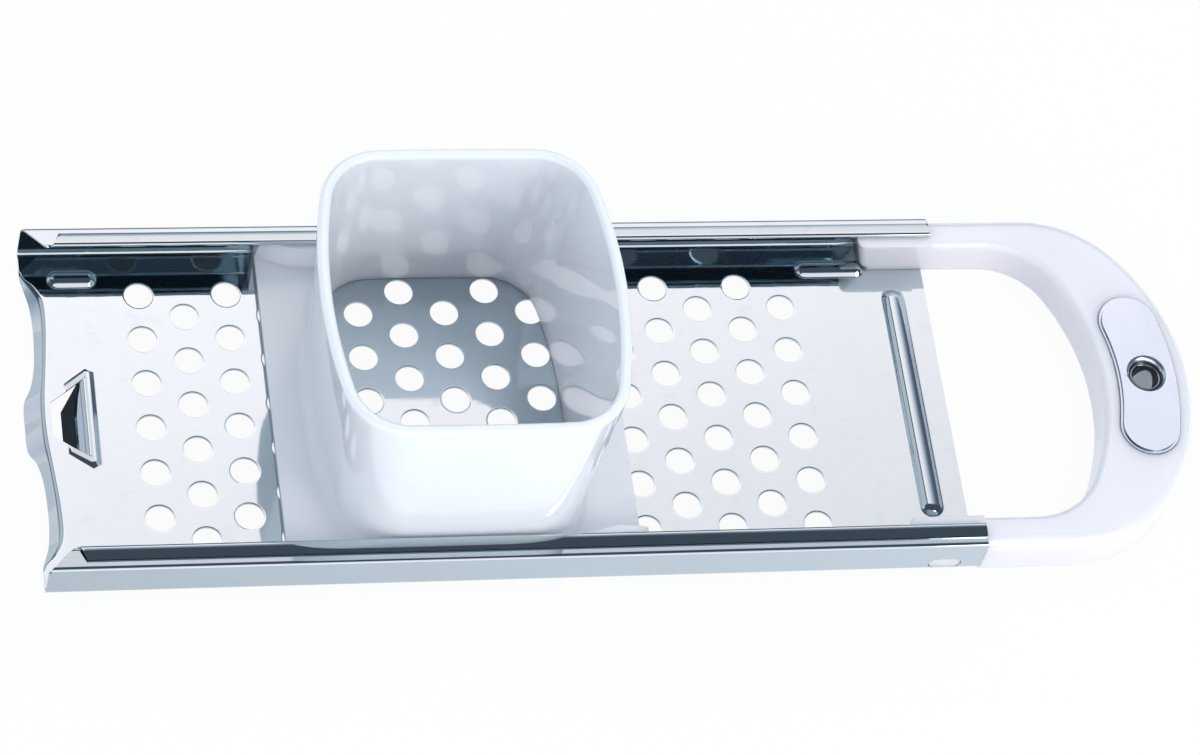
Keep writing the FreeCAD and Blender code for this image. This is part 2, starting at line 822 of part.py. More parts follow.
def add_prongs(body):
    """Two prongs that lie in the channels, clear of the stops, with snap lugs."""
    gap = size("prong_gap")
    start = tray_end - size("prong_length")
    low, high = floor_top + gap, flange_bottom - gap
    bevel = size("bend_radius")
    section = new_sketch(body, "prong_section", "YZ_Plane", start)
    for side in (1, -1):
        inside = arm_inside * side
        outside = (channel_half - gap) * side
        shoulder = (channel_half - gap - bevel) * side
        polygon(section, [(inside, low), (shoulder, low), (outside, low + bevel),
                          (outside, high - bevel), (shoulder, high), (inside, high)])
    pad(body, "prongs", section, size("prong_length") + gap + size("prong_root"))

    relief = new_sketch(body, "stop_relief_outline", "XY_Plane", floor_top)
    relief_end = tray_end - size("end_stop_inset") + size("end_stop_length") + gap
    half = size("stop_width") / 2 + gap
    for side in (1, -1):
        line = stop_line * side
        polygon(relief, [(start - gap, line - half), (relief_end, line - half),
                         (relief_end, line + half), (start - gap, line + half)])
    pocket(body, "stop_relief", relief, size("stop_rise") + gap, upward=True)

    for side, word in ((1, "far"), (-1, "near")):
        buried = gap + gauge
        sketch, faces_in = wall_sketch(body, word + "_lug_outline", side, channel_half - buried)
        snap_outline(sketch, size("lug_gap"))
        pad(body, word + "_snap_lug", sketch, buried + gauge - size("lug_sink"), reverse=faces_in)


def make_handle():
    body = new_body("handle")
    pad(body, "hoop", hoop_band(body), handle_height)

    def on_rim(box, level, middle):
        return flat_at(box, level) and middle.x > handle_back.number + 0.1

    def on_inner_outline(point):
        return point.x < grip_inside.number + 0.1 and abs(point.y) < arm_inside.number + 0.1

    fillet(body, "outer_top_round", size("outer_round"),
           lambda point, box: on_rim(box, handle_top, point) and not on_inner_outline(point))
    fillet(body, "inner_top_round", size("inner_round"),
           lambda point, box: on_rim(box, handle_top, point) and on_inner_outline(point))
    fillet(body, "underside_round", size("underside_round"),
           lambda point, box: on_rim(box, handle_bottom, point))
    add_prongs(body)

    seat = inlay_outline(body, "inlay_seat_outline", handle_top, fit_gap)
    pocket(body, "inlay_recess", seat, size("inlay_seat"))
    bore = new_sketch(body, "bore_outline", "XY_Plane", handle_top)
    circle(bore, (inlay_middle, 0), tube_radius + fit_gap)
    pocket(body, "eyelet_bore", bore, handle_height)
    flare = new_sketch(body, "flare_outline", "XY_Plane", handle_bottom)
    circle(flare, (inlay_middle, 0), flare_radius + fit_gap)
    pocket(body, "flare_seat", flare, size("eyelet_wall") + fit_gap, upward=True)
    return body


# ---------------------------------------------------------------- inlay and eyelet

def make_inlay():
    body = new_body("handle_inlay")
    ledge_top = inlay_bottom + size("inlay_ledge")
    plate = inlay_outline(body, "plate_outline", inlay_bottom, 0)
    pad(body, "plate", plate, size("inlay_thickness"))
    funnel = []
    for name, level, radius in (("funnel_mouth", inlay_top, size("funnel_diameter") / 2),
                                ("funnel_floor", ledge_top, flare_radius + fit_gap)):
        funnel.append(new_sketch(body, name, "XY_Plane", level))
        circle(funnel[-1], (inlay_middle, 0), radius)
    loft(body, "funnel", funnel, subtractive=True)
    hole = new_sketch(body, "tube_hole_outline", "XY_Plane", inlay_top)
    circle(hole, (inlay_middle, 0), tube_radius + fit_gap)
    pocket(body, "tube_hole", hole, size("inlay_thickness"))
    return body


def make_eyelet():
    """A tube that lines the hanging hole, flared at both ends to clamp the inlay."""
    body = new_body("hanging_eyelet")
    thickness = size("eyelet_wall")
    ledge_top = inlay_bottom + size("inlay_ledge")
    inside, outside, flare = (inlay_middle + radius
                              for radius in (bore_radius, tube_radius, flare_radius))
    section = new_sketch(body, "tube_section", "XZ_Plane", 0)
    polygon(section, [
        (inside, handle_bottom), (flare, handle_bottom), (flare, handle_bottom + thickness),
        (outside, handle_bottom + thickness), (outside, ledge_top), (flare, ledge_top),
        (flare, ledge_top + thickness), (inside, ledge_top + thickness)])
    spine = section.addGeometry(Part.LineSegment(
        flat((inlay_middle, handle_bottom)), flat((inlay_middle, handle_top))), True)
    pin_down(section, spine, 1, (inlay_middle, handle_bottom))
    pin_down(section, spine, 2, (inlay_middle, handle_top))
    tube = body.newObject("PartDesign::Revolution", "tube")
    tube.Profile = (section, [""])
    tube.ReferenceAxis = (section, ["Axis0"])
    tube.Angle = 360
    body.Tip = tube
    return body


# ---------------------------------------------------------------- build and write

pieces = [make_tray(), make_hopper(), make_handle(), make_inlay(), make_eyelet()]
document.recompute()

for thing in document.Objects:
    if "Invalid" in thing.State or "Error" in thing.State:
        raise RuntimeError(thing.Name + " failed: " + ", ".join(thing.State))

for piece in pieces:
    if piece.Shape.isNull() or not piece.Shape.isValid() or len(piece.Shape.Solids) != 1:
        raise RuntimeError(piece.Label + " is not one valid solid")

os.makedirs("parts", exist_ok=True)
for piece in pieces:
    box = piece.Shape.BoundBox
    print("%-16s volume %9.1f  x %7.2f %7.2f  y %7.2f %7.2f  z %6.2f %6.2f" % (
        piece.Label, piece.Shape.Volume,
        box.XMin, box.XMax, box.YMin, box.YMax, box.ZMin, box.ZMax))
    piece.Shape.exportStep("parts/" + piece.Label + ".step")
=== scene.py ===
# %% [markdown]
# # A spaetzle maker
#
# The tool is a perforated steel tray that lies across a pot, a white dough
# hopper that slides along the tray's rails, and a white hoop handle with a
# metal inlay around its hanging hole. The CAD solids give every size. This
# lesson replaces each of them with a finely modelled piece in the same place,
# because polished steel and glossy plastic only look right when every edge
# has a small radius that catches the light.

# %% Load the fixed frame
import math

import bmesh
import bpy
from mathutils import Matrix, Vector


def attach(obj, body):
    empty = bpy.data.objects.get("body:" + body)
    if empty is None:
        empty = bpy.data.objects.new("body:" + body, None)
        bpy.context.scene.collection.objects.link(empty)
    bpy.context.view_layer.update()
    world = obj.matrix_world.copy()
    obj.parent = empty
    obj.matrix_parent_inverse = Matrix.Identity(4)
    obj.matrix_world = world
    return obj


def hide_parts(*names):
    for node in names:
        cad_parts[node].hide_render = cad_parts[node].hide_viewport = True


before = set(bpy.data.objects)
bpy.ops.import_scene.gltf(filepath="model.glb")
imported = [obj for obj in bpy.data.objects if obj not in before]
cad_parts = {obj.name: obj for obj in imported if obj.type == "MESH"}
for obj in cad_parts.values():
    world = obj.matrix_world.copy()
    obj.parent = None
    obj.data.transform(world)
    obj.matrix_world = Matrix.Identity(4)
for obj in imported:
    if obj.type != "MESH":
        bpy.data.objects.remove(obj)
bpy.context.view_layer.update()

MM = 0.001
scene = bpy.context.scene
print("CAD nodes:", ", ".join(sorted(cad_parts)))

# %% [markdown]
# ## Drawing and finishing tools
#
# A maker draws an outline first and then folds, presses or moulds it. The
# pen below does the same in a bmesh: it pulls one vertex along straight runs
# (extrude) and round arcs (extrude and rotate), so that every point of an arc
# lies on the true circle. All drawing is in millimetres, and the finished mesh
# is scaled to metres once.

# %% The outline pen
def verts_of(geom):
    """Only the vertices of what an operator returns."""
    return [item for item in geom if isinstance(item, bmesh.types.BMVert)]


def loop_edges(verts):
    """The edges between neighbours of a closed ring of vertices."""
    pairs = zip(verts, verts[1:] + verts[:1])
    return [edge for a, b in pairs for edge in a.link_edges if b in edge.verts]


def grown_from(bm, verts, edges):
    """Extrudes edges and gives the new vertex of each old one, in order."""
    fresh = set(verts_of(bmesh.ops.extrude_edge_only(bm, edges=edges)["geom"]))
    return [next(e.other_vert(v) for e in v.link_edges if e.other_vert(v) in fresh)
            for v in verts]


def turn_up(bm, faces, sample):
    """Flips all the faces where the sample face looks down."""
    if sample.normal.z < 0:
        bmesh.ops.reverse_faces(bm, faces=faces)


class Pen:
    """Draws a chain of edges with straight runs and arcs."""

    def __init__(self, bm, *start):
        self.bm = bm
        self.first = self.tip = bm.verts.new(start)
        self.verts = [self.tip]

    def run(self, *point):
        grown = bmesh.ops.extrude_vert_indiv(self.bm, verts=[self.tip])
        self.tip = grown["verts"][0]
        self.tip.co = point
        self.verts.append(self.tip)
        return self

    def turn(self, centre, degrees, steps, axis=(0, 0, 1)):
        for _ in range(steps):
            grown = bmesh.ops.extrude_vert_indiv(self.bm, verts=[self.tip])
            self.tip = grown["verts"][0]
            bmesh.ops.rotate(self.bm, verts=[self.tip], cent=centre,
                             matrix=Matrix.Rotation(math.radians(degrees / steps), 3, axis))
            self.verts.append(self.tip)
        return self

    def pull(self, place):
        """Extrudes the whole chain and moves each new vertex to its place."""
        pairs = zip(self.verts, self.verts[1:])
        chain = [edge for a, b in pairs for edge in a.link_edges if b in edge.verts]
        self.verts = grown_from(self.bm, self.verts, chain)
        for vert in self.verts:
            vert.co = place(vert)
        return self

    def close(self):
        bmesh.ops.contextual_create(self.bm, geom=[self.tip, self.first])
        return self

    def close_on_start(self):
        """Closes a path that came back to its start, without a double vertex."""
        last = self.verts.pop()
        self.bm.edges.remove(last.link_edges[0])
        self.bm.verts.remove(last)
        self.tip = self.verts[-1]
        return self.close().verts

    def weld(self):
        """Merges the doubles of a closed path and gives the ring that is left."""
        bmesh.ops.remove_doubles(self.bm, verts=self.verts, dist=0.001)
        return [vert for vert in self.verts if vert.is_valid]

    def face(self):
        """Closes the outline and fills it with one face that looks up."""
        self.close()
        made = bmesh.ops.contextual_create(self.bm, geom=loop_edges(self.verts))["faces"]
        turn_up(self.bm, made, made[0])
        return made[0]


print("pen ready")

# %% Turning a bmesh into a piece
def new_piece(name, bm, body, node):
    """Scales the drawing to metres and makes it a piece that replaces a node."""
    bmesh.ops.scale(bm, vec=(MM, MM, MM), verts=bm.verts)
    mesh = bpy.data.meshes.new(name)
    bm.to_mesh(mesh)
    bm.free()
    mesh.shade_smooth()
    piece = bpy.data.objects.new(name, mesh)
    scene.collection.objects.link(piece)
    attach(piece, body)
    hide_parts(node)
    print(name, "has", len(mesh.polygons), "faces")
    return piece


def soften(piece, width, segments=2, angle=35):
    """Rounds the sharp edges and keeps the broad faces flat under the light."""
    bevel = piece.modifiers.new("edge_radius", "BEVEL")
    bevel.width = width * MM
    bevel.segments = segments
    bevel.limit_method = "ANGLE"
    bevel.angle_limit = math.radians(angle)
    bevel.profile = 0.5
    normals = piece.modifiers.new("flat_faces", "WEIGHTED_NORMAL")
    normals.weight = 90
    normals.keep_sharp = False


def baked(bm, setup):
    """Runs modifiers on a drawing and gives the result back as a drawing."""
    mesh = bpy.data.meshes.new("draft")
    bm.to_mesh(mesh)
    bm.free()
    thing = bpy.data.objects.new("draft", mesh)
    scene.collection.objects.link(thing)
    setup(thing)
    result = bmesh.new()
    result.from_object(thing, bpy.context.evaluated_depsgraph_get())
    bpy.data.objects.remove(thing)
    bpy.data.meshes.remove(mesh)
    return result


def carve(name, base, tool_bm, operation="DIFFERENCE"):
    """Cuts one drawing out of another, or joins the two."""
    mesh = bpy.data.meshes.new(name + "_tool")
    tool_bm.to_mesh(mesh)
    tool_bm.free()
    tool = bpy.data.objects.new(name + "_tool", mesh)
    scene.collection.objects.link(tool)

    def setup(thing):
        cut = thing.modifiers.new("cut", "BOOLEAN")
        cut.operation = operation
        cut.object = tool
        cut.solver = "EXACT"

    result = baked(base, setup)
    bpy.data.objects.remove(tool)
    bpy.data.meshes.remove(mesh)
    return result


print("finishing tools ready")

# %% [markdown]
# ## The steel tray
#
# The real tray is one sheet of polished steel, 0.8 mm thick: perforated,
# pressed, folded up into two channels and turned down at the pot end. It
# could be a solid with the holes cut by booleans, but a mirror finish shows
# every stray normal. So the sheet is drawn as a single surface with a narrow
# flat ring round each hole and pressing, the flat metal between is filled,
# and a Solidify modifier gives the gauge.

# %% Tray sizes
GAUGE = 0.8
TRAY_START, TRAY_END, HALF = -201.5, 117.0, 66.0
FLOOR, FLANGE = 7.0, 22.2
INSIDE, BEND = HALF - GAUGE, 1.6
FLAT_EDGE = 63.0
HOLE, RIM = 4.95, 0.6
FIRST_HOLE, PITCH_X, PITCH_Y = -161.5, 15.0, 17.32
ROWS, COLUMNS, RING_STEPS = 6, 16, 40


def press(bm, face, steps, drift=0.0):
    """Pushes a face up in rings: each step is a pair of inset and rise.

    A drift moves the crest along the tray, so one flank gets steeper."""
    for inset, rise in steps:
        bmesh.ops.inset_region(bm, faces=[face], thickness=inset, depth=rise,
                               use_boundary=True, use_even_offset=True)
        bmesh.ops.translate(bm, verts=face.verts, vec=(inset * drift, 0, 0))
    return face


print("tray", TRAY_END - TRAY_START, "mm long")

# %% [markdown]
# ### Holes
# The dough drops through 96 round holes in 16 staggered columns. One ring is
# drawn and inset: the ring stays flat, the disc inside it is the hole. The ring
# is then repeated, and the discs are taken out once the metal round them is
# filled in.

# %% Perforation
sheet = bmesh.new()
circle = bmesh.ops.create_circle(sheet, cap_ends=True, segments=RING_STEPS, radius=HOLE + RIM)
bmesh.ops.translate(sheet, verts=circle["verts"], vec=(FIRST_HOLE, 2.75 * PITCH_Y, FLOOR))
press(sheet, sheet.faces[:][0], [(RIM, 0)])
first_ring = sheet.faces[:]
for row in range(1, ROWS):
    copy = bmesh.ops.duplicate(sheet, geom=first_ring)["geom"]
    bmesh.ops.translate(sheet, vec=(0, -row * PITCH_Y, 0), verts=verts_of(copy))
column = sheet.faces[:]
for number in range(1, COLUMNS):
    copy = bmesh.ops.duplicate(sheet, geom=column)["geom"]
    drop = -0.5 * PITCH_Y if number % 2 else 0
    bmesh.ops.translate(sheet, vec=(number * PITCH_X, drop, 0), verts=verts_of(copy))
print("perforation:", len(sheet.faces) // (RING_STEPS + 1), "holes")

# %% [markdown]
# ### Pressings
# Two short stops at each end keep the hopper on the tray, a long bead
# stiffens the handle end, and a low ridge backs the pot hook. Each starts as
# a flat outline and is pushed up ring by ring, as a press tool would do it.
# The ridge's two arms then fade out towards the pot end.

# %% Stops, bead and ridge
STOP_FORM = [(0.45, 0), (0.3, 0.1), (0.3, 0.33), (0.4, 0.4), (0.45, 0.36), (0.5, 0.28),
             (0.5, 0.18), (0.5, 0.09), (0.3, 0.02)]
BEAD_FORM = [(0.45, 0), (0.3, 0.08), (0.35, 0.3), (0.45, 0.38), (0.5, 0.36), (0.55, 0.32),
             (0.6, 0.25), (0.6, 0.17), (0.5, 0.08), (0.3, 0.02)]
RIDGE_FORM = [(0.5, 0), (0.2, 0.03), (0.25, 0.16), (0.35, 0.34), (0.4, 0.42), (0.35, 0.3),
              (0.3, 0.12), (0.2, 0.03)]
STOP_LINE, STOP_HALF, BEAD_HALF, FLARE = 54.5, 3.2, 4.0, 0.75
STOPS = ((-188.8, -178.7), (74.2, 92.8))
BEAD_X, BEAD_END = 105, 41.5
RIDGE_END, RIDGE_WIDEST, RIDGE_BACK = -190.2, -181.8, -178.2
RIDGE_AREA = 23  # this near the middle, the ridge is all that is pressed up here


def capsule(bm, ends, radius, z, steps=20):
    """A slot-shaped face between two centres that lie along X or along Y."""
    (x1, y1), (x2, y2) = ends
    off_x, off_y = (0, -radius) if y1 == y2 else (radius, 0)
    pen = Pen(bm, x1 + off_x, y1 + off_y, z).run(x2 + off_x, y2 + off_y, z)
    pen.turn((x2, y2, z), 180, steps).run(x1 - off_x, y1 - off_y, z)
    pen.turn((x1, y1, z), 180, steps)
    bmesh.ops.remove_doubles(bm, verts=pen.verts[-1:] + pen.verts[:1], dist=0.001)
    ring = [vert for vert in pen.verts if vert.is_valid]
    made = bmesh.ops.contextual_create(bm, geom=loop_edges(ring))["faces"]
    turn_up(bm, made, made[0])
    return made[0]


for side in (STOP_LINE, -STOP_LINE):
    for start, end in STOPS:
        stop = capsule(sheet, ((start, side), (end, side)), STOP_HALF + FLARE, FLOOR)
        press(sheet, stop, STOP_FORM)
bead = capsule(sheet, ((BEAD_X, -BEAD_END), (BEAD_X, BEAD_END)), BEAD_HALF + FLARE, FLOOR)
press(sheet, bead, BEAD_FORM, -0.3)
ridge = Pen(sheet, RIDGE_END, -13.9, FLOOR)
for x, y in ((RIDGE_WIDEST, -20.1), (RIDGE_BACK, -18.2), (RIDGE_BACK, 18.2),
             (RIDGE_WIDEST, 20.1), (RIDGE_END, 13.9)):
    ridge.run(x, y, FLOOR)
crest = press(sheet, ridge.face(), RIDGE_FORM, -0.35)
crown_z = crest.verts[0].co.z


def faded(x, z):
    """The ridge's height at a place: it falls off towards the pot end."""
    return FLOOR + (z - FLOOR) * min(1, (x - RIDGE_END) / (RIDGE_BACK - 2 - RIDGE_END)) ** 2


for vert in sheet.verts:
    if vert.co.x < RIDGE_BACK and abs(vert.co.y) < RIDGE_AREA and vert.co.z > FLOOR:
        vert.co.z = faded(vert.co.x, vert.co.z)
print("pressings:", len(sheet.faces), "faces so far, ridge top at", round(crown_z, 2))

# %% [markdown]
# ### The turned-down lip
# At the pot end the floor bends down along a wavy line, deepest at a rounded
# nose in the middle. The line and the lip's edge are given at a few stations,
# and a smooth curve runs through them. The lip is the floor's own edge,
# extruded seven times: six short steps round the bend and one long one down.

# %% Lip stations
LIP = (  # distance from the middle, bend line, edge, height of the edge
    (0.0, -197.3, -202.9, 0.55), (9.35, -196.9, -202.6, 1.1), (14.85, -196.4, -200.1, 2.49),
    (23.1, -195.6, -198.5, 3.3), (36.3, -194.6, -197.9, 3.3), (46.2, -194.9, -198.6, 3.37),
    (51.7, -197.6, -200.1, 4.41), (55.0, -200.4, -201.2, 5.6), (57.5, -200.9, -201.5, FLOOR),
    (66.0, -200.9, -201.5, FLOOR))
SHARES = (0, 0.17, 0.34, 0.5, 0.66, 0.83, 1, 2)
BEND_REACH = 1.3  # how far from the line the bend starts and ends


def along_lip(y, column):
    """The smooth value of one station column at a distance from the middle."""
    y = min(abs(y), 65.9)
    spot = max(i for i in range(len(LIP) - 1) if LIP[i][0] <= y)
    here, after = LIP[spot], LIP[spot + 1]
    before = LIP[spot - 1] if spot else here
    beyond = LIP[min(spot + 2, len(LIP) - 1)]
    span = after[0] - here[0]
    rise = after[column] - here[column]
    slope_in = (after[column] - before[column]) / (after[0] - before[0]) * span * (spot > 0)
    slope_out = (beyond[column] - here[column]) / (beyond[0] - here[0]) * span * (rise != 0)
    slope_in *= rise != 0
    t = (y - here[0]) / span
    curve = rise * (3 * t ** 2 - 2 * t ** 3)
    return here[column] + curve + slope_in * t * (1 - t) ** 2 - slope_out * t ** 2 * (1 - t)


def lip_point(y, share):
    """A point of the lip: share 0 to 1 goes round the bend, 2 is the edge."""
    line, edge, height = (along_lip(y, column) for column in (1, 2, 3))
    root = Vector((line, y, FLOOR))
    tip = Vector((edge, y, height))
    reach = min(BEND_REACH, (tip - root).length * 0.45)
    start = root + Vector((reach * 0.9, 0, 0))
    end = root + (tip - root).normalized() * reach
    if share > 1:
        return tip
    return start.lerp(root, share).lerp(root.lerp(end, share), share)


print("lip from", LIP[0][1], "to", LIP[-1][1])

# %% Lip
lip_line = Pen(sheet, *lip_point(-FLAT_EDGE, 0))
for step in range(1, int(2 * FLAT_EDGE) + 1):
    lip_line.run(*lip_point(-FLAT_EDGE + step, 0))
for share in SHARES[1:]:
    lip_line.pull(lambda vert: lip_point(vert.co.y, share))
print("lip:", len(lip_line.verts), "stations")

# %% [markdown]
# ### The rails
# Each side of the sheet is folded up, in, and back over itself, which makes
# the channel that the hopper's runners slide in. The fold is drawn once as
# an end view with real arcs and then pulled along the tray. A folded hem
# never lies quite flat: its strips lean a few degrees more towards the free
# edge, so each mirrors another part of the room. The pot end is mitred, and
# the near rail is a mirror image of the far one.

# %% Rail section
LEAN = math.radians(3)
END = TRAY_END - 0.6
HEM_OUT, FOLD_IN = 62.7, 58.6
TIGHT, NOSE = 0.6, 1.1  # radii of the upper bend and of the hem's fold
HEM_FORM = ((1.2, 5), (1.4, 9), (1.38, 14))  # width and lean of three strips
strip_y = INSIDE - TIGHT + TIGHT * math.sin(LEAN)
fold_z = FLANGE - 0.32
bend_z = fold_z - (strip_y - FOLD_IN) * math.tan(LEAN) - TIGHT * math.cos(LEAN)

fold = Pen(sheet, END, FLAT_EDGE, FLOOR).run(END, INSIDE - BEND, FLOOR)
fold.turn((0, INSIDE - BEND, FLOOR + BEND), 90, 7, (1, 0, 0))
fold.run(END, INSIDE, FLOOR + BEND + 0.5).run(END, INSIDE, bend_z - 0.5)
fold.run(END, INSIDE, bend_z)
fold.turn((0, INSIDE - TIGHT, bend_z), 90 - math.degrees(LEAN), 6, (1, 0, 0))
for y in (strip_y - 0.25, HEM_OUT, FOLD_IN + 0.3, FOLD_IN):
    fold.run(END, y, fold_z - (y - FOLD_IN) * math.tan(LEAN))
fold.turn((0, FOLD_IN + NOSE * math.sin(LEAN), fold_z + NOSE * math.cos(LEAN)),
          -182, 12, (1, 0, 0))
for width, lean in HEM_FORM:
    y, z = fold.tip.co.yz
    fold.run(END, y + width, z - width * math.tan(math.radians(lean)))
print("rail section:", len(fold.verts), "points")

# %% Rails
HEM_RISE, HEM_SETBACK = 1.4, 1.6
HEM_SLANT, SLANT_FROM = 1 + 2.4 / 5.2, 57.5
RAIL_CUTS = (60, 0, -60, -120, -170, -186)  # even out the long faces


def mitre(vert):
    """How far the rail's pot end is cut back at one point of its section.

    The wall stays long, the flange is cut at 45 degrees, and the folded hem is
    set back further and slants the other way."""
    y, z = vert.co.yz
    if z < bend_z - 0.1:
        return 0
    lift = max(0, min(1, (z - fold_z) / HEM_RISE))
    slant = max(0, y - SLANT_FROM) * HEM_SLANT * (lift > 0.4)
    return HALF - y + HEM_SETBACK * lift + slant


for x in RAIL_CUTS:
    fold.pull(lambda vert: (x, vert.co.y, vert.co.z))
for share in SHARES:
    x = lip_point(FLAT_EDGE, share).x
    fold.pull(lambda vert: (x + mitre(vert), vert.co.y, vert.co.z))
far_rail = [face for face in sheet.faces if any(
    vert.co.z > FLOOR + 2.5 or vert.co.y > FLAT_EDGE + 0.1 for vert in face.verts)]
bmesh.ops.mirror(sheet, geom=far_rail + list({v for f in far_rail for v in f.verts}),
                 axis="Y", merge_dist=0)
print("rails:", len(far_rail), "faces each")

# %% Fill the flat metal
bmesh.ops.remove_doubles(sheet, verts=sheet.verts, dist=0.03)
corners = [min(sheet.verts, key=lambda v: (v.co - Vector((END, side * FLAT_EDGE, FLOOR))).length)
           for side in (1, -1)]
sheet.edges.new(corners)
outline = [edge for edge in sheet.edges if (edge.is_boundary or edge.is_wire) and all(
    abs(v.co.z - FLOOR) < 0.001 and abs(v.co.y) < FLAT_EDGE + 0.01 and v.co.x > -201.3
    for v in edge.verts)]
filled = bmesh.ops.triangle_fill(sheet, edges=outline, use_beauty=True, normal=(0, 0, 1))
discs = [face for face in sheet.faces if len(face.verts) == RING_STEPS]
bmesh.ops.delete(sheet, geom=discs, context="FACES")
handle_end = [edge for edge in sheet.edges if edge.is_boundary
              and all(abs(v.co.x - END) < 0.001 for v in edge.verts)]
grown = bmesh.ops.extrude_edge_only(sheet, edges=handle_end)["geom"]
bmesh.ops.translate(sheet, vec=(TRAY_END - END, 0, 0), verts=verts_of(grown))
bmesh.ops.recalc_face_normals(sheet, faces=sheet.faces)
low = next(f for f in sheet.faces if abs(f.calc_center_median().z - FLOOR) < 0.001)
turn_up(sheet, sheet.faces, low)
print("flat metal:", len(filled["geom"]), "parts,", len(discs), "discs taken out")

# %% [markdown]
# ### Gauge, slots and hook opening
# Solidify turns the surface into 0.8 mm sheet. Only then are the handle's
# snap slots and the opening of the pot hook punched, by exact booleans,
# because a punch cuts straight through whatever shape the sheet has there.

# %% Sheet thickness and punched openings
SNAP_START, SNAP_END, SNAP_Z = 101.5, 107, 10.5
SLOT_RADIUS, LUG_RADIUS = 3.0, 2.75


def thicken(bm, thickness):
    """Gives a surface its gauge, measured away from the side its faces show."""
    def setup(thing):
        solid = thing.modifiers.new("gauge", "SOLIDIFY")
        solid.thickness = thickness
        solid.offset = -1
        solid.use_even_offset = True
        solid.use_quality_normals = True
    return baked(bm, setup)


def block(bm, points, rise):
    """A prism: a flat outline pulled straight along one direction."""
    pen = Pen(bm, *points[0])
    for point in points[1:]:
        pen.run(*point)
    pull_solid(bm, pen.close().verts, rise)


def pull_solid(bm, ring, rise):
    """Fills a ring of vertices and pulls the face into a solid."""
    face = bmesh.ops.contextual_create(bm, geom=loop_edges(ring))["faces"][0]
    grown = bmesh.ops.extrude_face_region(bm, geom=[face])["geom"]
    bmesh.ops.translate(bm, verts=verts_of(grown), vec=rise)
    bm.normal_update()
    bmesh.ops.recalc_face_normals(bm, faces=bm.faces)


def snap_solid(bm, y, radius, steps, depth):
    """A rounded bar across the wall: a larger one cuts the slot, the lug fills it."""
    pen = Pen(bm, SNAP_START, y, SNAP_Z - radius).run(SNAP_END, y, SNAP_Z - radius)
    pen.turn((SNAP_END, y, SNAP_Z), -180, steps, (0, 1, 0))
    pen.run(SNAP_START, y, SNAP_Z + radius)
    pen.turn((SNAP_START, y, SNAP_Z), -180, steps, (0, 1, 0))
    pull_solid(bm, pen.close().weld(), (0, depth, 0))


punches = bmesh.new()
block(punches, [(-194.5, -6.4, 4), (-182.2, -15.6, 4), (-182.2, 15.6, 4), (-194.5, 6.4, 4)],
      (0, 0, 7))
for side in (1, -1):
    snap_solid(punches, side * 63.2, SLOT_RADIUS, 16, side * 4)
tray = carve("tray", thicken(sheet, GAUGE), punches)
print("tray sheet:", len(tray.faces), "faces")

# %% [markdown]
# ### The pot hook's tongue
# The metal lanced out of the opening is bent down so that it hooks over a
# pot's rim. It is drawn as a bent line in side view, pulled across the tray,
# and narrowed towards its tip.

# %% Tongue
BEND_X, TIP_X, ROOT_HALF, TIP_HALF, TURN = -182.3, -190.6, 14.8, 5.8, 2.9
OVERLAP, SUNK = 0.7, 0.02  # how far the root reaches into the ridge's metal
tongue = bmesh.new()
root_z = faded(BEND_X, crown_z) - SUNK
side_view = Pen(tongue, BEND_X + OVERLAP, -ROOT_HALF,
                faded(BEND_X + OVERLAP, crown_z) - SUNK)
side_view.run(BEND_X, -ROOT_HALF, root_z)
side_view.turn((BEND_X, 0, root_z - TURN), -47, 8, (0, 1, 0))
side_view.run(TIP_X, -ROOT_HALF, 0.95)
bend_x = side_view.verts[-2].co.x
for share in (0.5, 1.0, 1.5, 2.0):
    side_view.pull(lambda vert: (vert.co.x, (share - 1) * ROOT_HALF, vert.co.z))
for vert in tongue.verts:
    narrow = max(0, (bend_x - vert.co.x) / (bend_x - TIP_X))
    vert.co.y *= 1 - narrow * (1 - TIP_HALF / ROOT_HALF)
bmesh.ops.recalc_face_normals(tongue, faces=tongue.faces)
turn_up(tongue, tongue.faces, tongue.faces[:][0])
tongue = thicken(tongue, GAUGE)
tongue_mesh = bpy.data.meshes.new("tongue")
tongue.to_mesh(tongue_mesh)
tongue.free()
tray.from_mesh(tongue_mesh)
bpy.data.meshes.remove(tongue_mesh)
tray_sheet = new_piece("tray_sheet", tray, "frame", "tray")
soften(tray_sheet, 0.16, 2, 50)

# %% [markdown]
# ## The dough hopper
#
# The hopper is one moulding: a plate with a runner along each side, and a cup
# that leans a little and ends in an upright rim band. A mould maker would
# cut the cup as a stack of sections, and so does this lesson: each section
# is an outline of tangent arcs, the sections are bridged, and the cavity is
# cut out of the cup with the same outline drawn one wall smaller.

# %% Cup sections
HOPPER_START, HOPPER_END = -120.9, -0.1
PLATE_LOW, PLATE_TOP, RUNNER_TOP, RIM_TOP = 7.3, 10.3, 21.3, 87.0
END_BOW, SIDE_BOW, NECK = 8.5, 1.0, 84.5
FOOT_X, FOOT_HALF_X, FOOT_HALF_Y, FOOT_CORNER = -61.5, 45.1, 57.1, 21.4
CUP_LEAN, CUP_SPREAD, CUP_DRAW, CORNER_GAIN = -2.0, 6.1, 2.3, 0.1  # foot to neck


